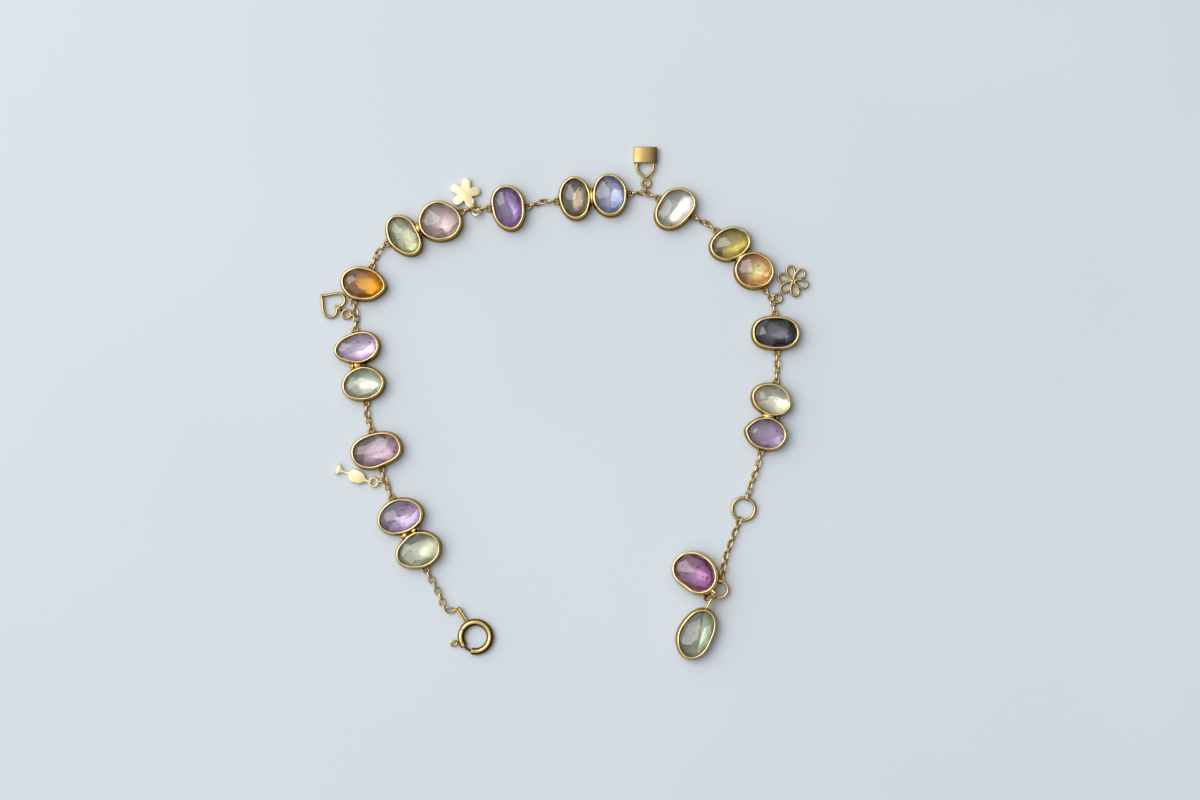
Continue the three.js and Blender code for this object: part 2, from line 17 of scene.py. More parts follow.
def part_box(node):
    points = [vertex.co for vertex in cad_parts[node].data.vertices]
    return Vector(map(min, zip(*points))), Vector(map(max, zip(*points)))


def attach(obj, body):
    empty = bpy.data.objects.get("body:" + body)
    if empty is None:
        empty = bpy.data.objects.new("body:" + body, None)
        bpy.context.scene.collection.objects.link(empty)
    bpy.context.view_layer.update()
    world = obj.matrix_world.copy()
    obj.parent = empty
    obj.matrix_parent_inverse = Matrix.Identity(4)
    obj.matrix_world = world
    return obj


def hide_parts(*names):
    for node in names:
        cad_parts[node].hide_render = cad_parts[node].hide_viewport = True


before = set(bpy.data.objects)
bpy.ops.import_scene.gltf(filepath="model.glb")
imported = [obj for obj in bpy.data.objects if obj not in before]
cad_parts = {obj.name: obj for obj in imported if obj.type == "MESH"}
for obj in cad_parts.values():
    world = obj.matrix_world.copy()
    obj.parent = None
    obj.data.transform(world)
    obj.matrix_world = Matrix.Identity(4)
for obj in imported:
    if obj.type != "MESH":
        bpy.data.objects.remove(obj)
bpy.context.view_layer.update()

# %% [markdown]
# ## Camera
# The bracelet lies on a table and is seen from almost straight above. A long lens from nearly half a
# metre keeps the small walls of the bezels in a gentle perspective, which a short lens would spread.

# %% Camera
MM = 0.001
VIEW = {"elevation": 87.5, "distance": 450 * MM, "lens": 87.09, "target": Vector((5.8, 0.2, 0.0)) * MM}


def place_camera(elevation, distance, lens, target):
    """Looks at the target from the front, from so many degrees above the table."""
    camera = bpy.data.objects.new("camera", bpy.data.cameras.new("camera"))
    camera.data.lens = lens
    camera.data.clip_start = 0.01
    angle = math.radians(elevation)
    camera.location = target + distance * Vector((0, -math.cos(angle), math.sin(angle)))
    camera.rotation_euler = (math.pi / 2 - angle, 0, 0)
    bpy.context.scene.collection.objects.link(camera)
    bpy.context.scene.camera = camera


place_camera(**VIEW)
print("camera stands", round(bpy.context.scene.camera.location.z, 3), "m above the table")

# %% [markdown]
# ## Helpers
# Every piece is modelled in millimetres in a bmesh of its own, in its true place, and then scaled to
# metres once at the end. So each object sits at the origin, unturned and unscaled, and a pattern that
# reads Object coordinates stays on the metal when the piece moves.

# %% From bmesh to piece
TAU = 2 * math.pi


def make_piece(name, bm, materials, replaces=(), body="bracelet", smooth=True):
    """Turns a bmesh in millimetres into a piece that rides on a body."""
    bmesh.ops.scale(bm, vec=(MM, MM, MM), verts=bm.verts)
    for face in bm.faces:
        face.smooth = smooth
    mesh = bpy.data.meshes.new(name)
    bm.to_mesh(mesh)
    bm.free()
    for material in materials:
        mesh.materials.append(material)
    piece = bpy.data.objects.new(name, mesh)
    bpy.context.scene.collection.objects.link(piece)
    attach(piece, body)
    if replaces:
        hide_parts(*replaces)
    return piece


# %% [markdown]
# ### Wire
# Lugs, links, rings, petals and the heart are all bent from round wire. A wire is a circle that is
# extruded step by step along a path and turned to follow it. All these paths lie in a plane, so the
# plane's own normal keeps the section from twisting, and a closed path meets itself exactly.

# %% Pull a wire along a path
def sections_along(path, normal, closed):
    """A matrix for each point of a path: X across it in its plane, Y along the normal, Z along it."""
    count = len(path)
    places = []
    for i, point in enumerate(path):
        after = path[(i + 1) % count] if closed else path[min(i + 1, count - 1)]
        before = path[i - 1] if closed else path[max(i - 1, 0)]
        along = (after - before).normalized()
        across = normal.cross(along).normalized()
        turned = Matrix((across, along.cross(across), along)).transposed().to_4x4()
        places.append(Matrix.Translation(point) @ turned)
    return places


def pull_section(bm, edges, places, closed):
    """Extrudes a loop of edges, which lies round the origin, through the places."""
    verts = list({v for e in edges for v in e.verts})
    bmesh.ops.transform(bm, matrix=places[0], verts=verts)
    first = last = edges
    for before, after in zip(places, places[1:]):
        made = bmesh.ops.extrude_edge_only(bm, edges=last)["geom"]
        ring = {g for g in made if isinstance(g, bmesh.types.BMVert)}
        last = [g for g in made if isinstance(g, bmesh.types.BMEdge) and set(g.verts) <= ring]
        bmesh.ops.transform(bm, matrix=after @ before.inverted(), verts=list(ring))
    if closed:
        bmesh.ops.bridge_loops(bm, edges=first + last)
    else:
        bmesh.ops.edgeloop_fill(bm, edges=first)
        bmesh.ops.edgeloop_fill(bm, edges=last)


def pull_wire(bm, path, radius, normal=Vector((0, 0, 1)), closed=False, sides=12, flat=1.0, side=0):
    """Bends round wire along a path. flat squashes it along the normal, side is its material's slot."""
    part = bmesh.new()
    bmesh.ops.create_circle(part, segments=sides, radius=radius)
    bmesh.ops.scale(part, vec=(1, flat, 1), verts=part.verts)
    pull_section(part, list(part.edges), sections_along(path, normal, closed), closed)
    bmesh.ops.recalc_face_normals(part, faces=part.faces)
    for face in part.faces:
        face.material_index = side
    add_to(bm, part)


def add_to(bm, part, matrix=Matrix.Identity(4)):
    """Moves one bmesh into another, as a soldered part."""
    bmesh.ops.transform(part, matrix=matrix, verts=part.verts)
    mesh = bpy.data.meshes.new("part")
    part.to_mesh(mesh)
    part.free()
    bm.from_mesh(mesh)
    bpy.data.meshes.remove(mesh)


def polar(radius, angle, centre=Vector((0, 0, 0))):
    """The point at an angle in degrees on a level circle."""
    return centre + radius * Vector((math.cos(math.radians(angle)), math.sin(math.radians(angle)), 0))


def circle_path(centre, radius, steps=32, turn=Matrix.Identity(4), stretch=1.0):
    """A closed circle, or an oval where stretch lengthens it, leaning as turn says."""
    round_path = [polar(radius, 360 * i / steps) for i in range(steps)]
    return [centre + turn @ Vector((p.x * stretch, p.y, 0)) for p in round_path]


# %% [markdown]
# ## Materials
# ### Gold
# Polished gold carries painted light: its colour is mixed by height, a dark brown low down that paints
# shade on walls, in gaps and near the table, and the gold's own bright colour on top, so that crests such
# as the rims' tops and the clasp's tube show a painted highlight line. Noises let the colour drift at
# random and break the shine up like fingermarks, and a little bump stands for fine scratches. At a
# glancing angle gold mirrors the bluish table and turns grey, so a golden Specular Tint keeps those
# reflections warm. The rims, wire, solder and clasp each get their own version. Satin gold is
# brushed: its noise is stretched into fine strokes, which widen every highlight. Colour and roughness
# vary over the surface, so they come from nodes; what is the same all over is set on the shader.

# %% Node helpers
def new_material(name, **settings):
    """A material with one Principled shader, and its node tree and shader at hand."""
    material = bpy.data.materials.new(name)
    material.use_nodes = True
    tree = material.node_tree
    shader = next(node for node in tree.nodes if node.type == "BSDF_PRINCIPLED")
    for socket, value in settings.items():
        shader.inputs[socket.replace("_", " ")].default_value = value
    return material, tree, shader


def noise(tree, scale, detail=3.0, stretch=(1, 1, 1), turn=0.0, distortion=0.0):
    """A noise on the piece's own coordinates, stretched and turned."""
    place = tree.nodes.new("ShaderNodeTexCoord")
    mapping = tree.nodes.new("ShaderNodeMapping")
    mapping.inputs["Scale"].default_value = stretch
    mapping.inputs["Rotation"].default_value = (0, 0, math.radians(turn))
    texture = tree.nodes.new("ShaderNodeTexNoise")
    texture.inputs["Scale"].default_value = scale
    texture.inputs["Detail"].default_value = detail
    texture.inputs["Distortion"].default_value = distortion
    tree.links.new(place.outputs["Object"], mapping.inputs["Vector"])
    tree.links.new(mapping.outputs["Vector"], texture.inputs["Vector"])
    return texture.outputs["Fac"]


def ramp(tree, value, *stops):
    """A colour ramp over a value. Each stop is a position and a colour or a grey."""
    node = tree.nodes.new("ShaderNodeValToRGB")
    points = node.color_ramp.elements
    while len(points) < len(stops):
        points.new(0.5)
    for point, (position, colour) in zip(points, stops):
        point.position = position
        point.color = (*colour, 1) if isinstance(colour, tuple) else (colour, colour, colour, 1)
    tree.links.new(value, node.inputs["Fac"])
    return node.outputs["Color"]


def bump(tree, shader, height, strength, distance):
    """Gives the shader a fine relief, distance in metres."""
    node = tree.nodes.new("ShaderNodeBump")
    node.inputs["Strength"].default_value = strength
    node.inputs["Distance"].default_value = distance
    tree.links.new(height, node.inputs["Height"])
    tree.links.new(node.outputs["Normal"], shader.inputs["Normal"])


# %% Polished and satin gold
GLANCING_TINT = (0.85, 0.55, 0.18, 1)
# The colour drifts at random over both the bright gold on top and the dark painted shade low down.
TOP_DRIFT, SHADED_DRIFT = 0.92, 0.80  # how dark the colour's drift makes bright and dull gold


def polished_gold(name, shaded, bright, low, high):
    """Polished gold, dark with painted shade at the height low and below and bright from high upwards."""
    material, tree, shader = new_material(name, Metallic=1.0, Specular_Tint=GLANCING_TINT)
    tone = noise(tree, 260, 2)
    top_colour = ramp(tree, tone, (0.3, tuple(TOP_DRIFT * c for c in bright)), (0.7, bright))
    shaded_colour = ramp(tree, tone, (0.3, tuple(SHADED_DRIFT * c for c in shaded)), (0.7, shaded))
    # Mixing by height paints shade: dark low down, and the bright top makes a painted highlight on crests.
    place = tree.nodes.new("ShaderNodeTexCoord")
    split = tree.nodes.new("ShaderNodeSeparateXYZ")
    rise = tree.nodes.new("ShaderNodeMapRange")
    rise.inputs["From Min"].default_value = low * MM
    rise.inputs["From Max"].default_value = high * MM
    mix = tree.nodes.new("ShaderNodeMix")
    mix.data_type = "RGBA"
    tree.links.new(place.outputs["Object"], split.inputs["Vector"])
    tree.links.new(split.outputs["Z"], rise.inputs["Value"])
    tree.links.new(rise.outputs["Result"], mix.inputs["Factor"])
    tree.links.new(shaded_colour, mix.inputs["A"])
    tree.links.new(top_colour, mix.inputs["B"])
    tree.links.new(mix.outputs["Result"], shader.inputs["Base Color"])
    smudges = noise(tree, 700, 4, distortion=0.6)
    tree.links.new(ramp(tree, smudges, (0.35, 0.05), (0.75, 0.13)), shader.inputs["Roughness"])
    bump(tree, shader, noise(tree, 1500, 3), 0.10, 0.02 * MM)
    return material


def satin_gold(name, turn, deep, pale):
    """Gold with fine brushed strokes."""
    material, tree, shader = new_material(name, Metallic=1.0)
    tone = noise(tree, 300, 2)
    colour = ramp(tree, tone, (0.3, deep), (0.7, pale))
    tree.links.new(colour, shader.inputs["Base Color"])
    strokes = noise(tree, 1600, 4, stretch=(0.12, 1, 1), turn=turn)
    tree.links.new(ramp(tree, strokes, (0.3, 0.30), (0.7, 0.46)), shader.inputs["Roughness"])
    bump(tree, shader, strokes, 0.25, 0.02 * MM)
    return material


# In each gold, low and high say where the dark painted shade ends and the bright colour with its painted
# highlight starts, in millimetres up from the table.
GOLD = polished_gold(
    "polished gold", shaded=(0.22, 0.125, 0.02), bright=(0.95, 0.75, 0.38), low=1.6, high=1.96
)
WIRE_GOLD = polished_gold(
    "wire gold", shaded=(0.24, 0.13, 0.02), bright=(0.90, 0.67, 0.30), low=0.35, high=1.0
)
SOLDER_GOLD = polished_gold(
    "solder gold", shaded=(0.46, 0.28, 0.06), bright=(0.84, 0.58, 0.21), low=0.3, high=1.3
)
CLASP_GOLD = polished_gold(
    "clasp gold", shaded=(0.20, 0.11, 0.018), bright=(0.82, 0.60, 0.25), low=0.96, high=1.097
)
SATIN = satin_gold("satin gold", turn=20, deep=(0.88, 0.74, 0.43), pale=(0.97, 0.86, 0.56))
LOCK_SATIN = satin_gold("padlock satin", turn=80, deep=(0.46, 0.31, 0.11), pale=(0.58, 0.42, 0.18))
print("materials:", ", ".join(m.name for m in (GOLD, WIRE_GOLD, SOLDER_GOLD, CLASP_GOLD, SATIN, LOCK_SATIN)))

# %% [markdown]
# ## The stones' table
# Each outline is an oval of length by width; turn is the direction of its narrow end. Taper narrows
# that end, point sharpens it and square fills the corners. A hand-cut stone is never a true oval, so
# corners adds gentle swells: how many go round it, how far they rise and the direction of one. These
# are the engineering model's own values, so every bezel and stone falls exactly on its node.

# %% The table
STONES = {
    "01_lemon": dict(
        x=-22.18, y=-23.06, length=6.24, width=4.76, turn=23,
        corners={3: (0.09, -31), 4: (0.03, 19)},
    ),
    "02_lilac": dict(x=-25.04, y=-17.86, length=6.34, width=4.64, turn=19, corners={3: (0.05, -14)}),
    "03_rose": dict(
        x=-28.79, y=-7.63, length=7.05, width=4.53, turn=17, square=2.3,
        corners={3: (0.04, 10), 4: (0.04, -8)},
    ),
    "04_mint": dict(x=-30.8, y=2.65, length=5.8, width=4.44, turn=10, point=0.15, corners={3: (0.06, -30)}),
    "05_lavender": dict(
        x=-31.78, y=8.22, length=6.22, width=4.04, turn=191, taper=0.1,
        corners={3: (0.06, 58)},
    ),
    "06_amber": dict(
        x=-30.87, y=18.15, length=6.3, width=4.41, turn=-10, point=0.4,
        corners={3: (0.05, -1), 4: (0.02, 35)},
    ),
    "07_celadon": dict(
        x=-24.65, y=25.68, length=6.12, width=4.0, turn=-56,
        corners={3: (0.08, -40), 4: (0.03, -32)},
    ),
    "08_blush": dict(
        x=-19.01, y=27.87, length=5.95, width=5.36, turn=-12,
        corners={3: (0.07, -17), 4: (0.03, 18)},
    ),
    "09_amethyst": dict(
        x=-8.41, y=29.98, length=6.36, width=4.37, turn=-78, taper=0.06,
        corners={3: (0.03, 34), 4: (0.04, -42)},
    ),
    "10_taupe": dict(x=1.93, y=31.5, length=5.85, width=4.15, turn=-85, corners={3: (0.03, 42)}),
    "11_periwinkle": dict(x=7.32, y=31.96, length=5.8, width=4.55, turn=-88, corners={4: (0.03, 32)}),
    "12_clear": dict(
        x=17.44, y=29.9, length=6.45, width=4.55, turn=47,
        corners={3: (0.07, 0), 4: (0.06, 12)},
    ),
    "13_olive": dict(x=26.0, y=24.36, length=5.72, width=4.22, turn=22, corners={4: (0.04, -3)}),
    "14_peach": dict(x=29.7, y=20.22, length=5.38, width=4.89, turn=-13, corners={3: (0.03, -18)}),
    "15_slate": dict(x=33.02, y=10.54, length=6.52, width=4.35, turn=-2, square=2.4),
    "16_citron": dict(
        x=32.38, y=0.19, length=5.56, width=4.21, turn=-22, point=0.3,
        corners={3: (0.04, 55)},
    ),
    "17_violet": dict(
        x=31.48, y=-5.06, length=5.68, width=4.37, turn=170, point=0.35,
        corners={3: (0.06, 58)},
    ),
    "18_magenta": dict(
        x=20.69, y=-26.62, length=6.69, width=5.14, turn=-36,
        corners={3: (0.1, 55), 4: (0.06, 6)},
    ),
    "19_sage": dict(
        x=20.65, y=-35.93, length=7.47, width=4.59, turn=64,
        corners={3: (0.1, 45), 4: (0.04, 14)},
    ),
}


def signed_power(value, power):
    return math.copysign(abs(value) ** power, value)


def outline_point(stone, t, grow, z=0.0):
    """The point at angle t on a stone's outline, grown outwards by grow."""
    along = signed_power(math.cos(t), 2 / stone.get("square", 2))
    across = signed_power(math.sin(t), 2 / stone.get("square", 2))
    narrowing = (1 - stone.get("taper", 0) * along) * (1 - stone.get("point", 0) * max(along, 0) ** 4)
    own = Vector(((stone["length"] / 2 + grow) * along, (stone["width"] / 2 + grow) * across * narrowing, z))
    place = Matrix.Rotation(math.radians(stone["turn"]), 3, "Z") @ own
    angle = math.atan2(place.y, place.x)
    swell = sum(
        size * math.cos(corners * (angle - math.radians(direction)))
        for corners, (size, direction) in stone.get("corners", {}).items()
    )
    return place + swell * Vector((math.cos(angle), math.sin(angle), 0)) + Vector((stone["x"], stone["y"], 0))


def outline_towards(stone, angle, grow):
    """The place on a stone's grown outline in a direction from its centre, in degrees."""
    aim = polar(1, angle).xy
    centre = Vector((stone["x"], stone["y"]))
    places = [outline_point(stone, TAU * i / 360, grow) for i in range(360)]
    return min(places, key=lambda p: abs((p.xy - centre).angle(aim)))


low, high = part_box("stone_12_clear")
print("stone 12 is", round((high.x - low.x) / MM, 2), "by", round((high.y - low.y) / MM, 2), "mm")

# %% [markdown]
# ## Bezels
# A goldsmith bends a strip into a cup round each stone and rubs its edge over, so the rim is thick,
# rounded and never quite even. Here the cup's wall is drawn once as a profile, spun into a round cup
# and then pressed to the stone's outline: each point keeps its distance from the edge and its height.
# Modelling each oval directly would need nineteen different outlines instead of one.

# %% Spin a cup and press it to its stone
CUP_RADIUS = 10.0
CUP_STEPS = 96
RIM = 0.42  # how far the wall stands out near its top
RUBBED_FROM = 0.9  # the height from which the edge is rubbed over
STRAY_OUT, STRAY_UP = 0.014, 0.012  # how far the rubbed edge strays
WALL_PROFILE = [
    # out from the stone's edge, height
    (0.53, 0.0),
    (0.58, 0.07),
    (0.56, 0.50),
    (0.50, 1.05),
    (0.45, 1.45),
    (0.41, 1.69),
    (0.355, 1.84),
    (0.27, 1.945),
    (0.17, 1.985),
    (0.08, 1.965),
    (0.01, 1.90),
    (-0.05, 1.81),
    (-0.07, 1.74),
    (-0.02, 1.70),
    (0.0, 1.62),
    (0.0, 0.18),
    (-0.2, 0.15),
    (-0.2, 0.0),
]


def bezel(bm, stone, seed):
    """A gold cup round one stone."""
    part = bmesh.new()
    verts = [part.verts.new((CUP_RADIUS + out, 0, z)) for out, z in WALL_PROFILE]
    edges = [part.edges.new(pair) for pair in zip(verts, verts[1:] + verts[:1])]
    bmesh.ops.spin(
        part, geom=verts + edges, cent=(0, 0, 0), axis=(0, 0, 1), angle=TAU, steps=CUP_STEPS, use_merge=True
    )
    bmesh.ops.remove_doubles(part, verts=part.verts, dist=1e-4)
    dice = random.Random(seed)
    waves = [(count, dice.uniform(0, TAU), dice.uniform(0.5, 1)) for count in (2, 3, 5, 8)]
    for vert in part.verts:
        t = math.atan2(vert.co.y, vert.co.x)
        out, z = vert.co.xy.length - CUP_RADIUS, vert.co.z
        unevenness = sum(size * math.sin(count * t + phase) for count, phase, size in waves)
        rubbed = min(max(z - RUBBED_FROM, 0), 1)
        out += STRAY_OUT * unevenness * rubbed
        z += STRAY_UP * unevenness * rubbed
        vert.co = outline_point(stone, t, out, z)
    bmesh.ops.recalc_face_normals(part, faces=part.faces)
    add_to(bm, part)


# %% [markdown]
# ## Chain routes
# Thirteen short stretches of chain join the settings. Each row says what its two ends hook into, the
# points between, and on which side of its stone a lug stands. The lugs are soldered to the bezels, so
# they are needed before the settings can be made.

# %% The routes
CHAINS = {
    "chain_01": dict(
        start="tail", via=[(-18.1, -32.1), (-18.8, -30.3), (-20, -28)], end="01_lemon", end_at=-69
    ),
    "chain_02": dict(start="02_lilac", start_at=115, via=[(-27.25, -12.9)], end="03_rose", end_at=-75),
    "chain_03": dict(start="03_rose", start_at=104, via=[(-30.2, -2.4)], end="04_mint", end_at=-82),
    "chain_04": dict(start="05_lavender", start_at=97, via=[(-32.0, 13.1)], end="06_amber", end_at=-119),
    "chain_05": dict(start="06_amber", start_at=64, via=[(-28.7, 23.0)], end="07_celadon", end_at=-155),
    "chain_06": dict(start="08_blush", start_at=26, via=[(-13.8, 29.9)], end="09_amethyst", end_at=180),
    "chain_07": dict(start="09_amethyst", start_at=6, via=[(-3.2, 30.95)], end="10_taupe", end_at=-171),
    "chain_08": dict(start="11_periwinkle", start_at=6, via=[(12.5, 32.4)], end="12_clear", end_at=149),
    "chain_09": dict(start="12_clear", start_at=-25, via=[(22.3, 27.6)], end="13_olive", end_at=136),
    "chain_10": dict(start="14_peach", start_at=-61, via=[(32.4, 15.8)], end="15_slate", end_at=93),
    "chain_11": dict(start="15_slate", start_at=-87, via=[(33.2, 5.4)], end="16_citron", end_at=77),
    "chain_12": dict(start="17_violet", start_at=-106, via=[(30.1, -10.3), (29.2, -12.7)], end="ring_middle"),
    "chain_13": dict(start="ring_middle", via=[(26.25, -21.2), (25.15, -24.3)], end="ring_end", roll=45),
}
LUG = dict(radius=0.41, wire=0.16, reach=0.94, leg=0.62, foot=0.2)
LUG_SOLDER = dict(inwards=0.30, size=(0.28, 0.22, 0.26))
ROUTE_HEIGHT = 0.6


def lug_centre(stone_name, angle):
    place = outline_towards(STONES[stone_name], angle, LUG["reach"])
    return Vector((place.x, place.y, ROUTE_HEIGHT))


def lug_angles(stone_name):
    starts = [row["start_at"] for row in CHAINS.values() if row["start"] == stone_name]
    return starts + [row["end_at"] for row in CHAINS.values() if row["end"] == stone_name]


CUP_SIDE, SOLDER_SIDE = 0, 1  # a setting's two materials


def lump(bm, centre, size, turn, side=CUP_SIDE):
    """A rounded lump of solder."""
    part = bmesh.new()
    bmesh.ops.create_uvsphere(part, u_segments=16, v_segments=10, radius=1)
    bmesh.ops.scale(part, vec=size, verts=part.verts)
    for face in part.faces:
        face.material_index = side
    add_to(bm, part, Matrix.Translation(centre) @ Matrix.Rotation(math.radians(turn), 4, "Z"))


def lug(bm, stone_name, angle):
    """A loop of wire with two legs, whose feet are soldered to the bezel's wall."""
    stone = STONES[stone_name]
    centre = lug_centre(stone_name, angle)
    foot = outline_towards(stone, angle, LUG["foot"])
    outwards = (centre - Vector((foot.x, foot.y, ROUTE_HEIGHT))).normalized()
    aside = Vector((-outwards.y, outwards.x, 0))
    bend = [
        centre + LUG["radius"] * (math.sin(a) * outwards + math.cos(a) * aside)
        for a in [math.pi * i / 12 for i in range(13)]
    ]
    leg = outwards * LUG["leg"]
    pull_wire(bm, [bend[0] - leg, *bend, bend[-1] - leg], LUG["wire"], sides=12, side=SOLDER_SIDE)
    turn = math.degrees(math.atan2(outwards.y, outwards.x))
    for end in (bend[0], bend[-1]):
        lump(bm, end - outwards * LUG_SOLDER["inwards"], LUG_SOLDER["size"], turn, SOLDER_SIDE)


# %% [markdown]
# ## Settings
# Two stones that touch share one setting. A lump of solder joins their walls, a little below the rim.
# An ellipsoid of gold is enough for it, because only its top shows between the two cups.

# %% Solder the settings
SETTINGS = {
    "setting_01_02": ["01_lemon", "02_lilac"],
    "setting_03": ["03_rose"],
    "setting_04_05": ["04_mint", "05_lavender"],
    "setting_06": ["06_amber"],
    "setting_07_08": ["07_celadon", "08_blush"],
    "setting_09": ["09_amethyst"],
    "setting_10_11": ["10_taupe", "11_periwinkle"],
    "setting_12": ["12_clear"],
    "setting_13_14": ["13_olive", "14_peach"],
    "setting_15": ["15_slate"],
    "setting_16_17": ["16_citron", "17_violet"],
}
# The solder between two cups: how far aside it lies from the line between their centres, and its size.
SOLDER_HEIGHT = 1.05
SOLDER = {
    "setting_01_02": [dict(aside=-0.9, size=(0.55, 0.75, 0.75)), dict(aside=0.7, size=(0.6, 0.8, 0.8))],
    "setting_04_05": [dict(aside=0.55, size=(0.85, 1.1, 0.5)), dict(aside=1.1, size=(0.7, 0.4, 0.8))],
    "setting_07_08": [dict(aside=0.1, size=(0.6, 1.0, 0.8))],
    "setting_10_11": [dict(aside=-0.1, size=(0.4, 1.6, 0.85))],
    "setting_13_14": [dict(aside=0.2, size=(0.6, 1.3, 0.8))],
    "setting_16_17": [dict(aside=0.1, size=(0.6, 1.3, 0.75))],
}


def solder(bm, stone_a, stone_b, aside, size):
    a = Vector((stone_a["x"], stone_a["y"], 0))
    b = Vector((stone_b["x"], stone_b["y"], 0))
    line = math.degrees((b - a).xy.angle_signed(Vector((1, 0))))
    edge_a = outline_towards(stone_a, line, RIM)
    edge_b = outline_towards(stone_b, line + 180, RIM)
    middle = (edge_a + edge_b) / 2 + polar(aside, line + 90)
    lump(bm, Vector((middle.x, middle.y, SOLDER_HEIGHT)), size, line, SOLDER_SIDE)


for name, stone_names in SETTINGS.items():
    bm = bmesh.new()
    for stone_name in stone_names:
        bezel(bm, STONES[stone_name], seed=stone_name)
        for angle in lug_angles(stone_name):
            lug(bm, stone_name, angle)
    for bead in SOLDER.get(name, []):
        solder(bm, *[STONES[s] for s in stone_names], **bead)
    make_piece(name.replace("setting", "bezels"), bm, [GOLD, SOLDER_GOLD], [name])
print(len(SETTINGS), "settings soldered")

# %% [markdown]
# ## Cutting the stones
# These stones are cut by hand: large flat facets are ground one after the other round a low dome, and
# steep ones round and below the edge. The same is done here. A rough prism of the outline is cut by
# planes, each one like a pass over the lapidary's wheel. The steep lower facets mirror the gold and
# make the dark, jagged border of a real stone. The back is low and nearly flat, and faces that look
# down get a second material, a silvery foil. Light passes through the stone to the foil and out
# again, so it is coloured twice, and each back facet sends it another way. That breaks the colour into
# lighter and darker fields. Two pale stones have a flatter back, which keeps their colour more even.

# %% Grind the facets
BACK = 0.2
GIRDLE = 1.66
ROUGH_HEIGHT = 2.6
UNDER_RIM = 0.03  # how far the rough stone stays inside its outline
FIRST_FACET = 160
PASSES = {
    # how many facets, where the first starts and how far each wanders, as a share of the step between
    # them, then where the cutting plane goes: inwards from the outline, its height and its tilt
    "below": dict(
        count=9, start=0.5, wander=0.25, inset=0.03, height=GIRDLE,
        up=(-0.15, -0.4), tilt=(97, 106)
    ),
    "back": dict(
        count=5, start=0.5, wander=0.2, inset=0.1, height=BACK,
        up=(0.2, 0.45), tilt=(168, 175)
    ),
    "skirt": dict(
        count=9, start=0, wander=0.25, inset=0.08, height=GIRDLE,
        up=(0.02, 0.08), tilt=(31, 40)
    ),
    "crown": dict(
        count=5, start=0, wander=0.2, inset=0.8, height=2.14,
        up=(-0.05, 0.05), tilt=(9, 18)
    ),
}
FLAT_BACKS = {"05_lavender": (173, 177), "12_clear": (173, 177)}
GEM_SIDE, FOIL_SIDE = 0, 1  # a stone's two materials
FACES_DOWN = -0.8


def facing(stone, direction):
    """Where on its outline a stone faces a direction in degrees."""
    def off(i):
        chord = outline_point(stone, TAU * (i + 1) / 360, 0) - outline_point(stone, TAU * (i - 1) / 360, 0)
        return abs((math.degrees(math.atan2(-chord.x, chord.y)) - direction + 180) % 360 - 180)

    return TAU * min(range(360), key=off) / 360


def grind(bm, stone, direction, inset, height, tilt):
    """Cuts away what lies beyond a plane that faces a direction and leans tilt degrees from level."""
    through = outline_point(stone, facing(stone, direction), -inset, height)
    lean = math.radians(tilt)
    normal = polar(math.sin(lean), direction) + Vector((0, 0, math.cos(lean)))
    geometry = bm.verts[:] + bm.edges[:] + bm.faces[:]
    cut = bmesh.ops.bisect_plane(bm, geom=geometry, plane_co=through, plane_no=normal, clear_outer=True)
    rim = [g for g in cut["geom_cut"] if isinstance(g, bmesh.types.BMEdge)]
    if rim:
        bmesh.ops.holes_fill(bm, edges=rim, sides=0)


def rose_cut(name):
    """A stone with a crown of shallow facets, a skirt of steep ones, steep ones below and a low back."""
    stone, dice = STONES[name], random.Random(name)
    bm = bmesh.new()
    bmesh.ops.create_circle(bm, cap_ends=True, segments=64, radius=1)
    for vert in bm.verts:
        vert.co = outline_point(stone, math.atan2(vert.co.y, vert.co.x), -UNDER_RIM, BACK)
    top = bmesh.ops.extrude_face_region(bm, geom=bm.faces[:])["geom"]
    raised = [g for g in top if isinstance(g, bmesh.types.BMVert)]
    bmesh.ops.translate(bm, vec=(0, 0, ROUGH_HEIGHT), verts=raised)
    bmesh.ops.recalc_face_normals(bm, faces=bm.faces)
    for part, cut in PASSES.items():
        tilt = FLAT_BACKS.get(name, cut["tilt"]) if part == "back" else cut["tilt"]
        for i in range(cut["count"]):
            wander = dice.uniform(-cut["wander"], cut["wander"])
            direction = FIRST_FACET + 360 * (i + cut["start"] + wander) / cut["count"]
            height = cut["height"] + dice.uniform(*cut["up"])
            grind(bm, stone, direction, cut["inset"], height, dice.uniform(*tilt))
    bmesh.ops.dissolve_degenerate(bm, edges=bm.edges, dist=0.01)
    bmesh.ops.recalc_face_normals(bm, faces=bm.faces)
    for face in bm.faces:
        face.material_index = FOIL_SIDE if face.normal.z < FACES_DOWN else GEM_SIDE
    return bm


# %% [markdown]
# ## The stones' colours
# Each stone is a clear crystal whose colour lives in its body, deeper where the light's way through it
# is longer. So part of the colour is an absorption inside the stone, and part is on its surface, where
# a noise makes clouds and a few dark flecks, and where the colour deepens towards the outline as painted
# shade for the dark border of a cut stone. One tint per stone says what is left of white light that has
# gone down through the stone and up again. Index, roughness, transmission and absorption are the same
# all over and are set on the shaders; only the clouds, the painted border shade and the flecks come
# from nodes.

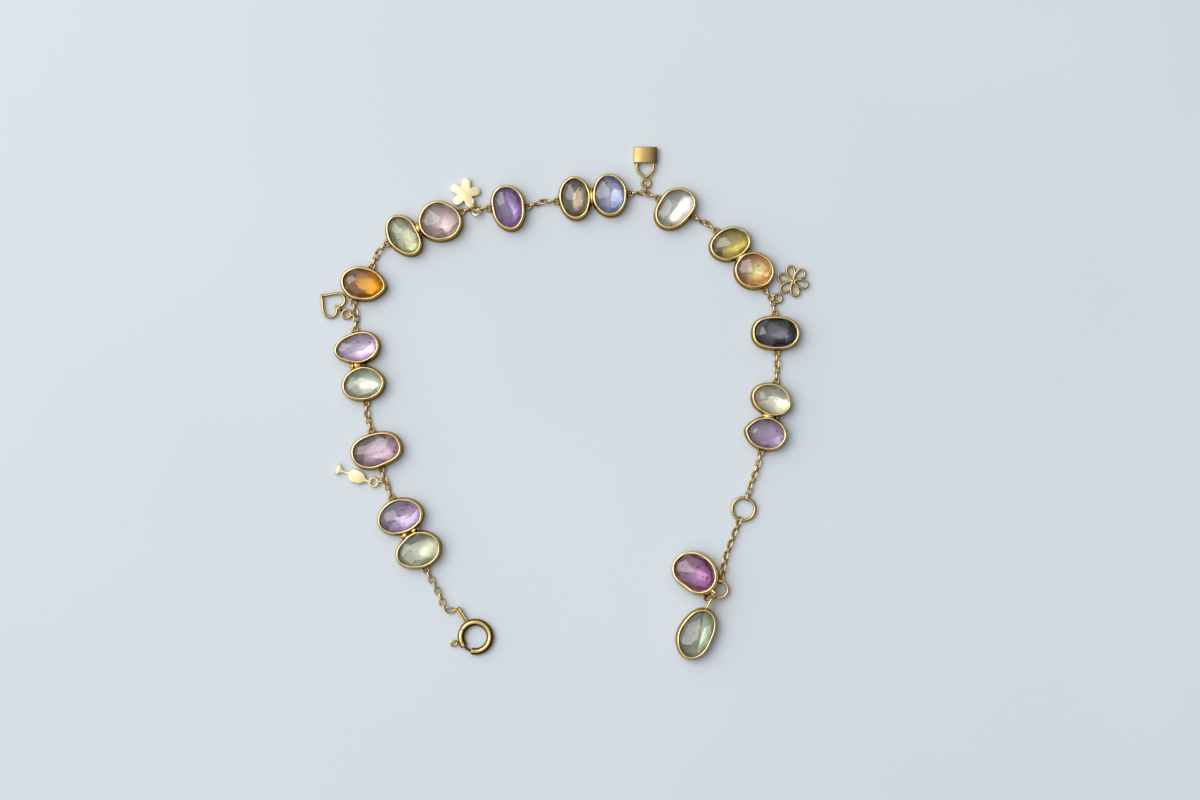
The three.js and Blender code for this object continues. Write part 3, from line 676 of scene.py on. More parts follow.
# %% Gem material
TINTS = {
    "01_lemon": (0.52, 0.54, 0.37),
    "02_lilac": (0.69, 0.49, 0.86),
    "03_rose": (0.55, 0.34, 0.46),
    "04_mint": (0.65, 0.73, 0.54),
    "05_lavender": (0.86, 0.60, 0.98),
    "06_amber": (0.62, 0.19, 0.003),
    "07_celadon": (0.44, 0.45, 0.24),
    "08_blush": (0.68, 0.49, 0.48),
    "09_amethyst": (0.37, 0.20, 0.58),
    "10_taupe": (0.22, 0.15, 0.10),
    "11_periwinkle": (0.32, 0.37, 0.65),
    "12_clear": (0.78, 0.76, 0.70),
    "13_olive": (0.39, 0.30, 0.04),
    "14_peach": (0.98, 0.84, 0.21),
    "15_slate": (0.18, 0.15, 0.22),
    "16_citron": (0.98, 0.98, 0.69),
    "17_violet": (0.52, 0.35, 0.61),
    "18_magenta": (0.32, 0.08, 0.26),
    "19_sage": (0.38, 0.45, 0.29),
}
FLECKS = {  # how much of a stone is flecked
    "02_lilac": 0.8, "03_rose": 0.5, "05_lavender": 0.5,
    "06_amber": 0.3, "11_periwinkle": 0.3, "18_magenta": 0.6,
}
FEW_FLECKS = 0.1
# Stones whose painted border shade has its own colour: reddish on the peach, near black on the slate.
EDGES = {"14_peach": (0.80, 0.36, 0.22), "15_slate": (0.02, 0.018, 0.03)}  # where the edge has its own colour
DEPTH = 4.2 * MM  # the light's way down through a stone and up again
BODY_SHARE, SURFACE_SHARE = 0.4, 0.3
PALE, RICH = 0.7, 1.8  # how strong the surface's share is in the middle and at the edge
CLOUD_SPREAD = 0.8
FLECK_SHADE = 0.25


def nearness_to_edge(tree, stone):
    """0 in the middle of a stone's outline and 1 on it."""
    place = tree.nodes.new("ShaderNodeTexCoord")
    own = tree.nodes.new("ShaderNodeMapping")
    own.vector_type = "TEXTURE"
    own.inputs["Location"].default_value = Vector((stone["x"], stone["y"], 0)) * MM
    own.inputs["Rotation"].default_value = (0, 0, math.radians(stone["turn"]))
    own.inputs["Scale"].default_value = Vector((stone["length"] / 2, stone["width"] / 2, 1000)) * MM
    reach = tree.nodes.new("ShaderNodeVectorMath")
    reach.operation = "LENGTH"
    tree.links.new(place.outputs["Object"], own.inputs["Vector"])
    tree.links.new(own.outputs["Vector"], reach.inputs[0])
    return reach.outputs["Value"]


def gem_material(name):
    """A clear stone, coloured in its body and on its surface."""
    tint = TINTS[name]
    material, tree, shader = new_material(
        f"stone {name[3:]}", Roughness=0.0, IOR=1.77, Transmission_Weight=0.97
    )
    pale = tuple(c ** (SURFACE_SHARE * PALE) for c in tint)
    border_shade = EDGES.get(name, tuple(c ** (SURFACE_SHARE * RICH) for c in tint))
    spread = tree.nodes.new("ShaderNodeMath")
    spread.operation = "MULTIPLY_ADD"
    spread.inputs[1].default_value = CLOUD_SPREAD
    tree.links.new(noise(tree, 330, 2, distortion=0.4), spread.inputs[0])
    tree.links.new(nearness_to_edge(tree, STONES[name]), spread.inputs[2])
    # The colour deepens towards the outline: painted shade for the stone's dark border.
    clouds = ramp(tree, spread.outputs["Value"], (0.0, pale), (0.75, pale), (1.0, border_shade))
    cover = 0.70 - 0.09 * FLECKS.get(name, FEW_FLECKS)
    mask = ramp(tree, noise(tree, 1700, 1.5), (cover, 0.0), (cover + 0.04, 1.0))
    mix = tree.nodes.new("ShaderNodeMix")
    mix.data_type = "RGBA"
    tree.links.new(mask, mix.inputs["Factor"])
    tree.links.new(clouds, mix.inputs["A"])
    mix.inputs["B"].default_value = (*(FLECK_SHADE * c for c in tint), 1)
    tree.links.new(mix.outputs["Result"], shader.inputs["Base Color"])
    taken = [-BODY_SHARE * math.log(c) / DEPTH for c in tint]
    body = tree.nodes.new("ShaderNodeVolumeAbsorption")
    body.inputs["Density"].default_value = max(taken)
    body.inputs["Color"].default_value = (*(1 - t / max(taken) for t in taken), 1)
    output = next(node for node in tree.nodes if node.type == "OUTPUT_MATERIAL")
    tree.links.new(body.outputs["Volume"], output.inputs["Volume"])
    return material


def foil():
    """Silvery foil behind the stones, slightly creased."""
    material, tree, shader = new_material("foil", Metallic=0.75)
    shine = ramp(tree, noise(tree, 500, 2), (0.3, (0.90, 0.91, 0.90)), (0.7, (0.98, 0.98, 0.96)))
    tree.links.new(shine, shader.inputs["Base Color"])
    tree.links.new(ramp(tree, noise(tree, 900, 2), (0.3, 0.27), (0.7, 0.33)), shader.inputs["Roughness"])
    bump(tree, shader, noise(tree, 420, 2), 0.06, 0.05 * MM)
    return material


FOIL = foil()
HANGING = ("18_magenta", "19_sage")


def set_stone(name, tip=Matrix.Identity(4)):
    """Cuts a stone and sets it in its bezel, tipped if it hangs."""
    gem = rose_cut(name)
    bmesh.ops.transform(gem, matrix=tip, verts=gem.verts)
    make_piece(f"gem_{name}", gem, [gem_material(name), FOIL], [f"stone_{name}"], smooth=False)


for name in STONES:
    if name not in HANGING:
        set_stone(name)
print("stones cut:", len(STONES) - len(HANGING))

# %% [markdown]
# ## Drops
# The last two stones hang from bails. They lie tipped, with their free ends on the table, so each one
# is modelled level and then tipped about the foot of its free end. A bail is a narrow loop of wire
# that stands on edge.

# %% Two drops
DROPS = {
    "18_magenta": dict(node="setting_18_drop", lift=1.2, bail=dict(x=23.65, y=-29.7, turn=-44, length=1.5)),
    "19_sage": dict(node="setting_19_drop", lift=0.0, bail=dict(x=22.6, y=-31.2, turn=62, length=2.3)),
}
BAIL = dict(half_height=0.5, height=1.8, wire=0.19, roundness=0.6, steps=28)
FOOT = 0.54  # how far a bezel's foot stands out from its stone


def bail(bm, x, y, turn, length):
    """A narrow loop that stands on edge: two straight runs and two round ends."""
    along, up = polar(1, turn), Vector((0, 0, 1))
    bow = BAIL["half_height"] * BAIL["roundness"]
    straight = length / 2 - BAIL["wire"] - bow
    path = []
    for i in range(BAIL["steps"]):
        a = TAU * i / BAIL["steps"]
        side = math.copysign(straight, math.cos(a))
        path.append(
            Vector((x, y, BAIL["height"]))
            + along * (side + bow * math.cos(a))
            + up * BAIL["half_height"] * math.sin(a)
        )
    pull_wire(bm, path, BAIL["wire"], normal=along.cross(up), closed=True, side=SOLDER_SIDE)


def tipping(stone, lift):
    """The turn that lifts the narrow end by lift about the foot of the other end."""
    reach = stone["length"] / 2 + FOOT
    direction = polar(1, stone["turn"])
    foot = Vector((stone["x"], stone["y"], 0)) - direction * reach
    turn = Matrix.Rotation(math.asin(lift / (2 * reach)), 4, Vector((direction.y, -direction.x, 0)))
    return Matrix.Translation(foot) @ turn @ Matrix.Translation(-foot)


for name, drop in DROPS.items():
    stone = STONES[name]
    tip = tipping(stone, drop["lift"])
    bm = bmesh.new()
    bezel(bm, stone, seed=name)
    bail(bm, **drop["bail"])
    bmesh.ops.transform(bm, matrix=tip, verts=bm.verts)
    make_piece(drop["node"].replace("setting", "bezel"), bm, [GOLD, SOLDER_GOLD], [drop["node"]])
    set_stone(name, tip)
print("drops hung:", ", ".join(DROPS))

# %% [markdown]
# ## Rings
# The middle ring and the end ring are plain wire rings that the clasp can close on. A small leaning
# jump ring carries the drops.

# %% Three rings
RINGS = {
    "ring_middle": dict(centre=Vector((28.0, -16.7, 0.55)), radius=1.75, wire=0.25),
    "ring_end": dict(centre=Vector((24.25, -29.1, 0.8)), radius=1.27, wire=0.22),
}
DROPS_RING = dict(centre=Vector((22.9, -30.3, 1.03)), radius=1.0, wire=0.18, turn=27, tip=-57)

for name, ring in RINGS.items():
    bm = bmesh.new()
    pull_wire(bm, circle_path(ring["centre"], ring["radius"], 48), ring["wire"], closed=True, sides=16)
    make_piece(name.replace("ring_", "wire_ring_"), bm, [WIRE_GOLD], [name])

lean = (
    Matrix.Rotation(math.radians(DROPS_RING["turn"]), 4, "Z")
    @ Matrix.Rotation(math.radians(DROPS_RING["tip"]), 4, "X")
)
bm = bmesh.new()
pull_wire(
    bm,
    circle_path(DROPS_RING["centre"], DROPS_RING["radius"], 40, lean),
    DROPS_RING["wire"],
    normal=(lean @ Vector((0, 0, 1, 0))).xyz,
    closed=True,
)
make_piece("jump_ring_drops", bm, [WIRE_GOLD], ["ring_drops"])
print("rings:", len(RINGS) + 1)

# %% [markdown]
# ## Cable chain
# A cable chain is a row of small oval links, each at right angles to the last. One link is bent from
# wire, and copies of it are set along each route. The route's length decides how many links fit, and
# each is stretched by a hair so that they share it evenly and still pass through one another.

# %% Links along the routes
LINK = dict(wire=0.13, width=1.04, pitch=0.94, sides=8)


def link(bm, place, pitch):
    """One link: its inside is as long as the pitch, so that the next one's wire fits in its end."""
    radius = LINK["width"] / 2 - LINK["wire"]
    straight = max(pitch / 2 + LINK["wire"] - radius, 0)
    path = []
    for i in range(16):
        a = TAU * (i + 0.5) / 16
        path.append(
            Vector((math.copysign(straight, math.cos(a)) + radius * math.cos(a), radius * math.sin(a), 0))
        )
    part = bmesh.new()
    bmesh.ops.create_circle(part, segments=LINK["sides"], radius=LINK["wire"])
    pull_section(part, list(part.edges), sections_along(path, Vector((0, 0, 1)), True), True)
    bmesh.ops.recalc_face_normals(part, faces=part.faces)
    add_to(bm, part, place)


def smooth_route(points, steps=24):
    """A smooth line through the points, as a fine polyline."""
    line = []
    padded = [2 * points[0] - points[1], *points, 2 * points[-1] - points[-2]]
    for before, a, b, after in zip(padded, padded[1:], padded[2:], padded[3:]):
        for i in range(steps):
            t = i / steps
            line.append(
                0.5 * ((2 * a) + (b - before) * t + (2 * before - 5 * a + 4 * b - after) * t**2
                       + (3 * a - before - 3 * b + after) * t**3)
            )
    return [*line, points[-1]]


def place_on(line, distance):
    """The point so far along a polyline, and the direction there."""
    for a, b in zip(line, line[1:]):
        step = (b - a).length
        if distance <= step:
            return a + (b - a) * (distance / step), (b - a).normalized()
        distance -= step
    return line[-1], (line[-1] - line[-2]).normalized()


TAIL_EYE = Vector((-15.97, -32.29, 0.6))
ON_EDGE = 90  # how a chain's first link is rolled


def anchor(name, angle):
    """Where a chain hooks in: the middle of the lug or ring, and how far its inside is from there."""
    if name in STONES:
        return lug_centre(name, angle), LUG["radius"] - LUG["wire"]
    if name in RINGS:
        return RINGS[name]["centre"], RINGS[name]["radius"] - RINGS[name]["wire"]
    return TAIL_EYE, 0.0


total_links = 0
for name, row in CHAINS.items():
    start, start_gap = anchor(row["start"], row.get("start_at"))
    end, end_gap = anchor(row["end"], row.get("end_at"))
    via = [Vector((x, y, ROUTE_HEIGHT)) for x, y in row["via"]]
    line = smooth_route([start, *via, end])
    length = sum((b - a).length for a, b in zip(line, line[1:])) - start_gap - end_gap
    count = round(length / LINK["pitch"])
    pitch = length / count
    # Each link turns by about 90 degrees, so that the last one stands as the first does.
    swing = 90 * (count - 1)
    roll_step = 90 - ((swing + 90) % 180 - 90) / max(count - 1, 1)
    bm = bmesh.new()
    for i in range(count):
        middle, along = place_on(line, start_gap + pitch * (i + 0.5))
        across = Vector((-along.y, along.x, 0)).normalized()
        turned = Matrix((along, across, along.cross(across))).transposed().to_4x4()
        roll = Matrix.Rotation(math.radians(row.get("roll", ON_EDGE) + roll_step * i), 4, "X")
        link(bm, Matrix.Translation(middle) @ turned @ roll, pitch)
    total_links += count
    make_piece(name.replace("chain", "links"), bm, [WIRE_GOLD], [name])
print("links:", total_links)

# %% [markdown]
# ## Charms
# The charms are small stampings and bent wires that lie flat beside the chain. A stamping starts as a
# circle of points that is moved to the outline, then extruded to its thickness and bevelled, because
# tumbling rounds every edge of a stamped piece. Each charm hangs from a stout ring, and a small link
# joins that ring to the chain.

# %% Stampings, rings and joining links
CHARM = dict(thickness=0.5, lift=0.3, rounding=0.09, ring_radius=0.66, ring_wire=0.21)
JOINING = dict(height=0.58, overlap=0.05, spare=0.24, rise=0.40, pinch=0.25)
CHARM_MIDDLE = CHARM["lift"] + CHARM["thickness"] / 2


def stamp(bm, outline):
    """A plate with the outline's shape, its edges rounded."""
    part = bmesh.new()
    bmesh.ops.create_circle(part, cap_ends=True, segments=len(outline), radius=1)
    part.verts.ensure_lookup_table()
    for vert, place in zip(part.verts, outline):
        vert.co = Vector((place.x, place.y, CHARM["lift"]))
    top = bmesh.ops.extrude_face_region(part, geom=part.faces[:])["geom"]
    raised = [g for g in top if isinstance(g, bmesh.types.BMVert)]
    bmesh.ops.translate(part, vec=(0, 0, CHARM["thickness"]), verts=raised)
    rims = list({e for f in part.faces if len(f.verts) > 4 for e in f.edges})
    bmesh.ops.bevel(
        part, geom=rims, offset=CHARM["rounding"], segments=3, profile=0.5, affect="EDGES", material=-1,
        clamp_overlap=True,
    )
    bmesh.ops.recalc_face_normals(part, faces=part.faces)
    add_to(bm, part)


def charm_ring(
    bm, x, y, lean=Matrix.Identity(4), z=CHARM_MIDDLE, radius=CHARM["ring_radius"], wire=CHARM["ring_wire"]
):
    """A stout ring that lies level, or leans as it is told."""
    ring = circle_path(Vector((x, y, z)), radius, 32, lean)
    pull_wire(bm, ring, wire, normal=(lean @ Vector((0, 0, 1, 0))).xyz, closed=True, sides=14)


def joining_link(bm, ring, chain):
    """A small link on edge between a charm's ring and the chain."""
    from_ring, to_chain = Vector((*ring, JOINING["height"])), Vector((*chain, JOINING["height"]))
    along = (to_chain - from_ring).normalized()
    start = from_ring + along * (CHARM["ring_radius"] - JOINING["overlap"])
    middle, reach = (start + to_chain) / 2, (to_chain - start).length / 2 + JOINING["spare"]
    up = Vector((0, 0, 1))
    path = []
    for i in range(20):
        a = TAU * i / 20
        rise = JOINING["rise"] * math.sin(a) * (1 - JOINING["pinch"] * math.cos(a) ** 2)
        path.append(middle + along * reach * math.cos(a) + up * rise)
    pull_wire(bm, path, LINK["wire"], normal=along.cross(up), closed=True, sides=LINK["sides"])


# %% Flower
FLOWER = dict(x=-15.15, y=32.3, turn=10, half_petal=0.70, petal_centre=1.66)


def flower():
    """Five round petals: each is a bar with a round end, and their sides meet in a notch."""
    bm = bmesh.new()
    middle = Vector((FLOWER["x"], FLOWER["y"], 0))
    half, centre = FLOWER["half_petal"], FLOWER["petal_centre"]
    outline = []
    for i in range(120):
        angle = TAU * i / 120
        off = abs((angle + TAU / 10) % (TAU / 5) - TAU / 10)
        if off > math.atan2(half, centre):
            radius = half / math.sin(off)
        else:
            radius = centre * math.cos(off) + math.sqrt(half**2 - (centre * math.sin(off)) ** 2)
        outline.append(polar(radius, math.degrees(angle) + FLOWER["turn"], middle))
    stamp(bm, outline)
    charm_ring(bm, -13.35, 29.35, Matrix.Rotation(math.radians(-38), 4, "X"), z=0.66)
    charm_ring(bm, -13.75, 30.85, Matrix.Rotation(math.radians(80), 4, "Y"), z=0.72, radius=0.52, wire=0.16)
    return bm


make_piece("flower", flower(), [SATIN], ["charm_flower"])

# %% Padlock
PADLOCK = dict(
    x=12.85, y=38.25, width=3.7, height=2.5, depth=1.3, crown=0.34, shackle=0.24, ring=(12.95, 33.9),
    hook=(12.8, 32.45),
)


def padlock():
    """A body with a gently crowned front, and a shackle that narrows to a point."""
    bm = bmesh.new()
    part = bmesh.new()
    bmesh.ops.create_grid(part, x_segments=16, y_segments=1, size=0.5)
    bmesh.ops.scale(part, vec=(PADLOCK["width"], PADLOCK["height"], 1), verts=part.verts)
    front = bmesh.ops.extrude_face_region(part, geom=part.faces[:])["geom"]
    for vert in [g for g in front if isinstance(g, bmesh.types.BMVert)]:
        aside = abs(vert.co.x) / (PADLOCK["width"] / 2)
        vert.co.z += PADLOCK["depth"] - PADLOCK["crown"] * aside**2.4
    bmesh.ops.recalc_face_normals(part, faces=part.faces)
    sharp = [e for e in part.edges if e.is_manifold and e.calc_face_angle() > 1]
    bmesh.ops.bevel(part, geom=sharp, offset=0.14, segments=4, profile=0.5, affect="EDGES", material=-1)
    add_to(bm, part, Matrix.Translation((PADLOCK["x"], PADLOCK["y"], 0)))
    foot = PADLOCK["y"] - PADLOCK["height"] / 2 + 0.1
    bends = [(-1.27, 0), (-1.29, 0.6), (-1.25, 1.05), (-1.0, 1.56), (-0.45, 2.05), (0, 2.32)]
    bends += [(-dx, down) for dx, down in reversed(bends[:-1])]
    points = [Vector((PADLOCK["x"] + dx, foot - down, PADLOCK["depth"] / 2)) for dx, down in bends]
    pull_wire(bm, smooth_route(points, 4), PADLOCK["shackle"], sides=14)
    charm_ring(bm, *PADLOCK["ring"])
    joining_link(bm, PADLOCK["ring"], PADLOCK["hook"])
    return bm


make_piece("padlock", padlock(), [LOCK_SATIN], ["charm_padlock"])

# %% Daisy
DAISY = dict(
    x=35.7, y=18.65, turn=-18, wire=0.2, petals=6, middle=1.33, half_length=1.03, half_width=0.60,
    widening=0.34, ring=(33.3, 15.95), hook=(32.45, 15.7),
)


def daisy():
    """Six petals of wire, wider towards their ends, that meet in the middle."""
    bm = bmesh.new()
    centre = Vector((DAISY["x"], DAISY["y"], CHARM_MIDDLE))
    for i in range(DAISY["petals"]):
        turn = Matrix.Rotation(math.radians(DAISY["turn"] + 360 / DAISY["petals"] * i), 4, "Z")
        petal = []
        for a in [TAU * k / 28 for k in range(28)]:
            out = DAISY["middle"] + DAISY["half_length"] * math.cos(a)
            aside = DAISY["half_width"] * math.sin(a) * (1 + DAISY["widening"] * math.cos(a))
            petal.append(centre + (turn @ Vector((out, aside, 0))))
        pull_wire(bm, petal, DAISY["wire"], closed=True, sides=12)
    lump(bm, centre, (0.34, 0.34, 0.24), 0)
    charm_ring(bm, *DAISY["ring"])
    joining_link(bm, DAISY["ring"], DAISY["hook"])
    return bm


make_piece("daisy", daisy(), [WIRE_GOLD], ["charm_daisy"])

# %% Wine glass
GLASS = dict(
    x=-34.3, y=-10.75, turn=-21, bar_at=-0.6, bar_half=0.9, bar_wire=0.17, bar_height=1.3,
    ring=(-29.2, -12.55), hook=(-27.55, -12.35),
)
GLASS_SIDE = [
    # along the axis, half the width there: a triangular foot, the stem, the bowl, the tab to its ring
    (-0.62, 0.90), (-0.40, 0.84), (-0.12, 0.50), (0.18, 0.25),
    (0.5, 0.17), (1.2, 0.16),
    (1.38, 0.30), (1.62, 0.74), (1.95, 0.98), (2.7, 1.03), (3.35, 0.97), (3.75, 0.66), (4.0, 0.34),
    (4.3, 0.20), (4.7, 0.18), (5.1, 0.20),
]


def wine_glass():
    """A flat glass in one plate, with a straight bar of wire along its triangular foot."""
    bm = bmesh.new()
    upper = [Vector((along, half, 0)) for along, half in GLASS_SIDE]
    lower = [Vector((along, -half, 0)) for along, half in reversed(GLASS_SIDE)]
    place = Matrix.Translation((GLASS["x"], GLASS["y"], 0))
    place = place @ Matrix.Rotation(math.radians(GLASS["turn"]), 4, "Z")
    stamp(bm, [place @ p for p in lower + upper])
    ends = (-GLASS["bar_half"], GLASS["bar_half"])
    bar = [place @ Vector((GLASS["bar_at"], aside, CHARM_MIDDLE)) for aside in ends]
    pull_wire(bm, bar, GLASS["bar_wire"], sides=14, flat=GLASS["bar_height"])
    charm_ring(bm, *GLASS["ring"])
    joining_link(bm, GLASS["ring"], GLASS["hook"])
    return bm


make_piece("wine_glass", wine_glass(), [SATIN], ["charm_wine_glass"])

# %% Heart
HEART = dict(
    x=-36.0, y=15.3, turn=-37, scale=0.128, wire=0.23, stalk=0.2, ring=(-33.5, 13.5), hook=(-32.05, 13.2)
)


def heart():
    """A heart of bent wire, with a short stalk from its cleft to its ring."""
    bm = bmesh.new()
    place = Matrix.Translation((HEART["x"], HEART["y"], CHARM_MIDDLE))
    place = place @ Matrix.Rotation(math.radians(HEART["turn"]), 4, "Z")
    wire = []
    for i in range(64):
        t = TAU * (i + 0.5) / 64
        along = 13 * math.cos(t) - 5 * math.cos(2 * t) - 2 * math.cos(3 * t) - math.cos(4 * t)
        wire.append(place @ (HEART["scale"] * Vector((along + 2, 16 * math.sin(t) ** 3, 0))))
    pull_wire(bm, wire, HEART["wire"], closed=True, sides=14)
    cleft = place @ (HEART["scale"] * Vector((7, 0, 0)))
    stalk = [cleft, Vector((*HEART["ring"], CHARM_MIDDLE)) - polar(0.6, HEART["turn"])]
    pull_wire(bm, stalk, HEART["stalk"], sides=14)
    charm_ring(bm, *HEART["ring"])
    joining_link(bm, HEART["ring"], HEART["hook"])
    return bm


make_piece("heart", heart(), [WIRE_GOLD], ["charm_heart"])
print("charms: flower, padlock, daisy, wine glass and heart")

# %% [markdown]
# ## Spring ring clasp
# A spring ring is a hollow ring of gold tube with a gap. A bolt of wire slides inside it, and a small
# eyelet on the bolt, which moves in a slot along the outside, draws it back to open the gap. The tube
# is an outer and an inner skin that are joined at the cut ends, and the slot is made by taking faces
# out of both skins and bridging the two edges that this leaves.

# %% Tube, slot and tail
CLASP = dict(
    centre=Vector((-13.4, -36.4, 0.56)), radius=2.25, tube=0.54, bore=0.33, sleeve=220, socket=254,
    tab=197, travel=42, slot_room=7, slot_half=22.5,
)
TAIL = dict(turn=122, start=2.6, neck=3.1, fold_at=4.78, fold=0.40, band=(0.1, 0.15), aside=0.19)
SAME_END = 0.2  # two open edges with their middles this near belong to one end of the tube


def tube_skin(places, radius, slot):
    """One skin of the tube, open at its ends, with a slit on its outside between the slot's angles."""
    skin = bmesh.new()
    bmesh.ops.create_circle(skin, segments=32, radius=radius)
    pull_section(skin, list(skin.edges), places, False)
    ends = [f for f in skin.faces if len(f.verts) > 4]
    bmesh.ops.delete(skin, geom=ends, context="FACES_ONLY")
    strip = []
    for face in skin.faces:
        offset = face.calc_center_median() - CLASP["centre"]
        angle = math.degrees(math.atan2(offset.y, offset.x)) % 360
        lean = math.degrees(math.atan2(offset.z, offset.xy.length - CLASP["radius"]))
        if slot[0] < angle < slot[1] and abs(lean) < CLASP["slot_half"]:
            strip.append(face)
    bmesh.ops.delete(skin, geom=strip, context="FACES")
    return skin


def tube_shell(bm, from_angle, to_angle, slot):
    """A curved tube with a wall: two skins, bridged wherever both are open."""
    part = bmesh.new()
    steps = round((to_angle - from_angle) / 3)
    angles = [from_angle + (to_angle - from_angle) * i / steps for i in range(steps + 1)]
    arc = [polar(CLASP["radius"], a, CLASP["centre"]) for a in angles]
    places = sections_along(arc, Vector((0, 0, 1)), False)
    for radius in (CLASP["tube"], CLASP["bore"]):
        add_to(part, tube_skin(places, radius, slot))
    bmesh.ops.remove_doubles(part, verts=part.verts, dist=1e-5)
    pairs = {}
    for loop in boundary_loops(part):
        middle = sum((v.co for e in loop for v in e.verts), Vector()) / (2 * len(loop))
        key = min(pairs, key=lambda k: (Vector(k) - middle).length, default=None)
        if key is not None and (Vector(key) - middle).length < SAME_END:
            pairs[key].append(loop)
        else:
            pairs[tuple(middle)] = [loop]
    for two in pairs.values():
        if len(two) == 2:
            bmesh.ops.bridge_loops(part, edges=two[0] + two[1])
    bmesh.ops.recalc_face_normals(part, faces=part.faces)
    add_to(bm, part)


def boundary_loops(bm):
    """The open edges of a mesh, loop by loop."""
    left = {e for e in bm.edges if e.is_boundary}
    loops = []
    while left:
        edge = left.pop()
        loop, front = [edge], [edge]
        while front:
            near = {e for v in front.pop().verts for e in v.link_edges} & left
            left -= near
            loop += near
            front += near
        loops.append(loop)
    return loops


def clasp_tail(bm):
    """Two narrow bands side by side: each runs out over the ring, folds back and returns under it."""
    turn = Matrix.Rotation(math.radians(TAIL["turn"]), 4, "Z")
    fold = []
    for i in range(13):
        a = math.pi * (0.5 - i / 12)
        fold.append(Vector((TAIL["fold_at"] + TAIL["fold"] * math.cos(a), 0, TAIL["fold"] * math.sin(a))))
    over = [Vector((TAIL["start"], 0, 0.42)), Vector((TAIL["neck"], 0, 0.44))]
    under = [Vector((p.x, 0, -p.z)) for p in reversed(over)]
    path = [*over, *fold, *under]
    half_thick, half_wide = TAIL["band"]
    corners = [(x * half_thick, y * half_wide) for x, y in ((-1, -1), (1, -1), (1, 1), (-1, 1))]
    for aside in (-TAIL["aside"], TAIL["aside"]):
        part = bmesh.new()
        section = [part.verts.new((x, y, 0)) for x, y in corners]
        edges = [part.edges.new(pair) for pair in zip(section, section[1:] + section[:1])]
        pull_section(part, edges, sections_along(path, Vector((0, 1, 0)), False), False)
        sharp = [e for e in part.edges if e.calc_face_angle(0) > 1]
        bmesh.ops.bevel(part, geom=sharp, offset=0.06, segments=3, profile=0.5, affect="EDGES", material=-1)
        bmesh.ops.recalc_face_normals(part, faces=part.faces)
        add_to(bm, part, Matrix.Translation(CLASP["centre"]) @ turn @ Matrix.Translation((0, aside, 0)))


bm = bmesh.new()
slot = (CLASP["tab"] - CLASP["travel"] - CLASP["slot_room"], CLASP["tab"] + CLASP["slot_room"])
tube_shell(bm, CLASP["socket"], CLASP["sleeve"] + 360, slot)
clasp_tail(bm)
make_piece("clasp_ring", bm, [CLASP_GOLD], ["clasp_body"])

# %% Bolt and eyelet
BOLT = dict(wire=0.2, start=156, span=106, steps=30)
EYELET = dict(standoff=0.65, radius=0.36, wire=0.17, stretch=1.4, stem=0.11, inside=0.5)

bm = bmesh.new()
angles = [BOLT["start"] + BOLT["span"] * i / BOLT["steps"] for i in range(BOLT["steps"] + 1)]
arc = [polar(CLASP["radius"], a, CLASP["centre"]) for a in angles]
pull_wire(bm, arc, BOLT["wire"], sides=16)
reach = CLASP["radius"] + CLASP["tube"] + EYELET["standoff"]
spin_to = Matrix.Rotation(math.radians(CLASP["tab"]), 4, "Z")
eyelet = polar(reach, CLASP["tab"], CLASP["centre"])
loop = circle_path(eyelet, EYELET["radius"], 28, spin_to, EYELET["stretch"])
pull_wire(bm, loop, EYELET["wire"], closed=True, sides=12, side=SOLDER_SIDE)
stem_ends = (CLASP["radius"], reach - EYELET["inside"])
stem = [polar(radius, CLASP["tab"], CLASP["centre"]) for radius in stem_ends]
pull_wire(bm, stem, EYELET["stem"], sides=12)
make_piece("clasp_bolt_wire", bm, [CLASP_GOLD, SOLDER_GOLD], ["clasp_bolt"], body="clasp_bolt")
print("clasp: slot from", slot[0], "to", slot[1], "degrees")

# %% [markdown]
# ## Table and light
# The bracelet lies on a pale, faintly bluish table with a soft gloss. One large window to the left
# gives the soft shadows, the bright lines on the rims and the sheen on the stones' left facets. The
# room is bright on the window's side and falls off to dark on the other. Polished metal shows what is
# round it, so that dark side is needed too: it draws the dark stripes that make gold look like gold.

# %% Table
TABLE_HALF = 1.5


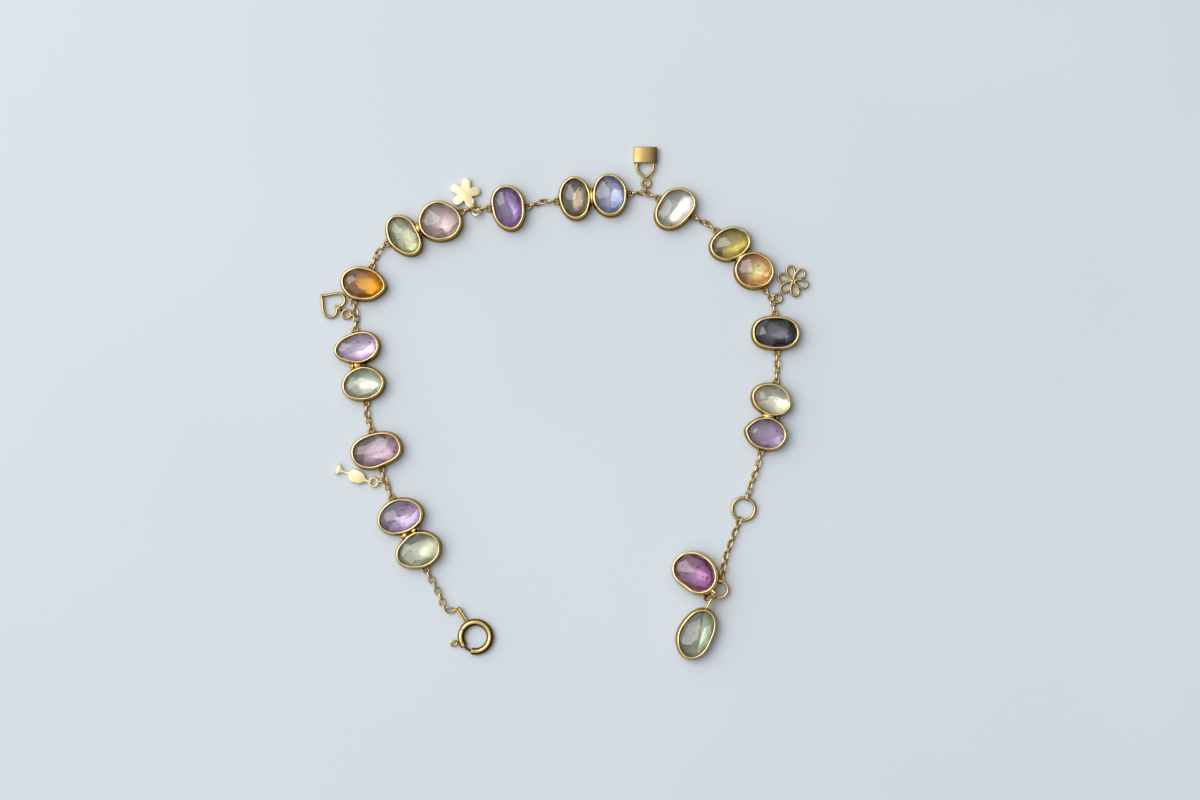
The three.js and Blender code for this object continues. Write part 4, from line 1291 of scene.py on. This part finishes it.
def pale_table():
    """A pale surface whose tone and gloss drift very slightly."""
    material, tree, shader = new_material("pale table", IOR=1.45)
    tone = ramp(tree, noise(tree, 14, 2), (0.3, (0.71, 0.78, 0.845)), (0.7, (0.74, 0.81, 0.875)))
    tree.links.new(tone, shader.inputs["Base Color"])
    tree.links.new(ramp(tree, noise(tree, 60, 3), (0.3, 0.42), (0.7, 0.47)), shader.inputs["Roughness"])
    return material


bm = bmesh.new()
bmesh.ops.create_grid(bm, x_segments=2, y_segments=2, size=TABLE_HALF)
mesh = bpy.data.meshes.new("table")
bm.to_mesh(mesh)
bm.free()
mesh.materials.append(pale_table())
table = bpy.data.objects.new("table", mesh)
bpy.context.scene.collection.objects.link(table)

# %% Window
WINDOW = dict(
    toward=(-0.5, 0.25, 0.85), distance=1.0, size=(0.75, 0.6), watts=3.3, colour=(1.0, 0.985, 0.96)
)


def window(toward, distance, size, watts, colour):
    """A rectangular light that faces the bracelet from a direction."""
    lamp = bpy.data.lights.new("window", "AREA")
    lamp.shape = "RECTANGLE"
    lamp.size, lamp.size_y = size
    lamp.energy = watts
    lamp.color = colour
    holder = bpy.data.objects.new("window", lamp)
    holder.location = Vector(toward).normalized() * distance
    holder.rotation_euler = Vector(toward).to_track_quat("Z", "Y").to_euler()
    bpy.context.scene.collection.objects.link(holder)


window(**WINDOW)

# %% Room
BRIGHT_SIDE = (-0.65, 0.27, 0.71)
SHADES = [(0.0, 0.01), (0.2, 0.08), (0.42, 0.30), (0.7, 0.50), (0.85, 0.85), (1.0, 1.0)]
ROOM_STRENGTH = 1.53


def room():
    """A room that is bright on the window's side and falls off to dark on the other."""
    world = bpy.data.worlds.new("room")
    world.use_nodes = True
    tree = world.node_tree
    place = tree.nodes.new("ShaderNodeTexCoord")
    dot = tree.nodes.new("ShaderNodeVectorMath")
    dot.operation = "DOT_PRODUCT"
    dot.inputs[1].default_value = Vector(BRIGHT_SIDE).normalized()
    tree.links.new(place.outputs["Generated"], dot.inputs[0])
    light = ramp(tree, dot.outputs["Value"], *SHADES)
    tree.links.new(light, tree.nodes["Background"].inputs["Color"])
    tree.nodes["Background"].inputs["Strength"].default_value = ROOM_STRENGTH
    return world


bpy.context.scene.world = room()
bpy.context.scene.view_settings.view_transform = "Standard"
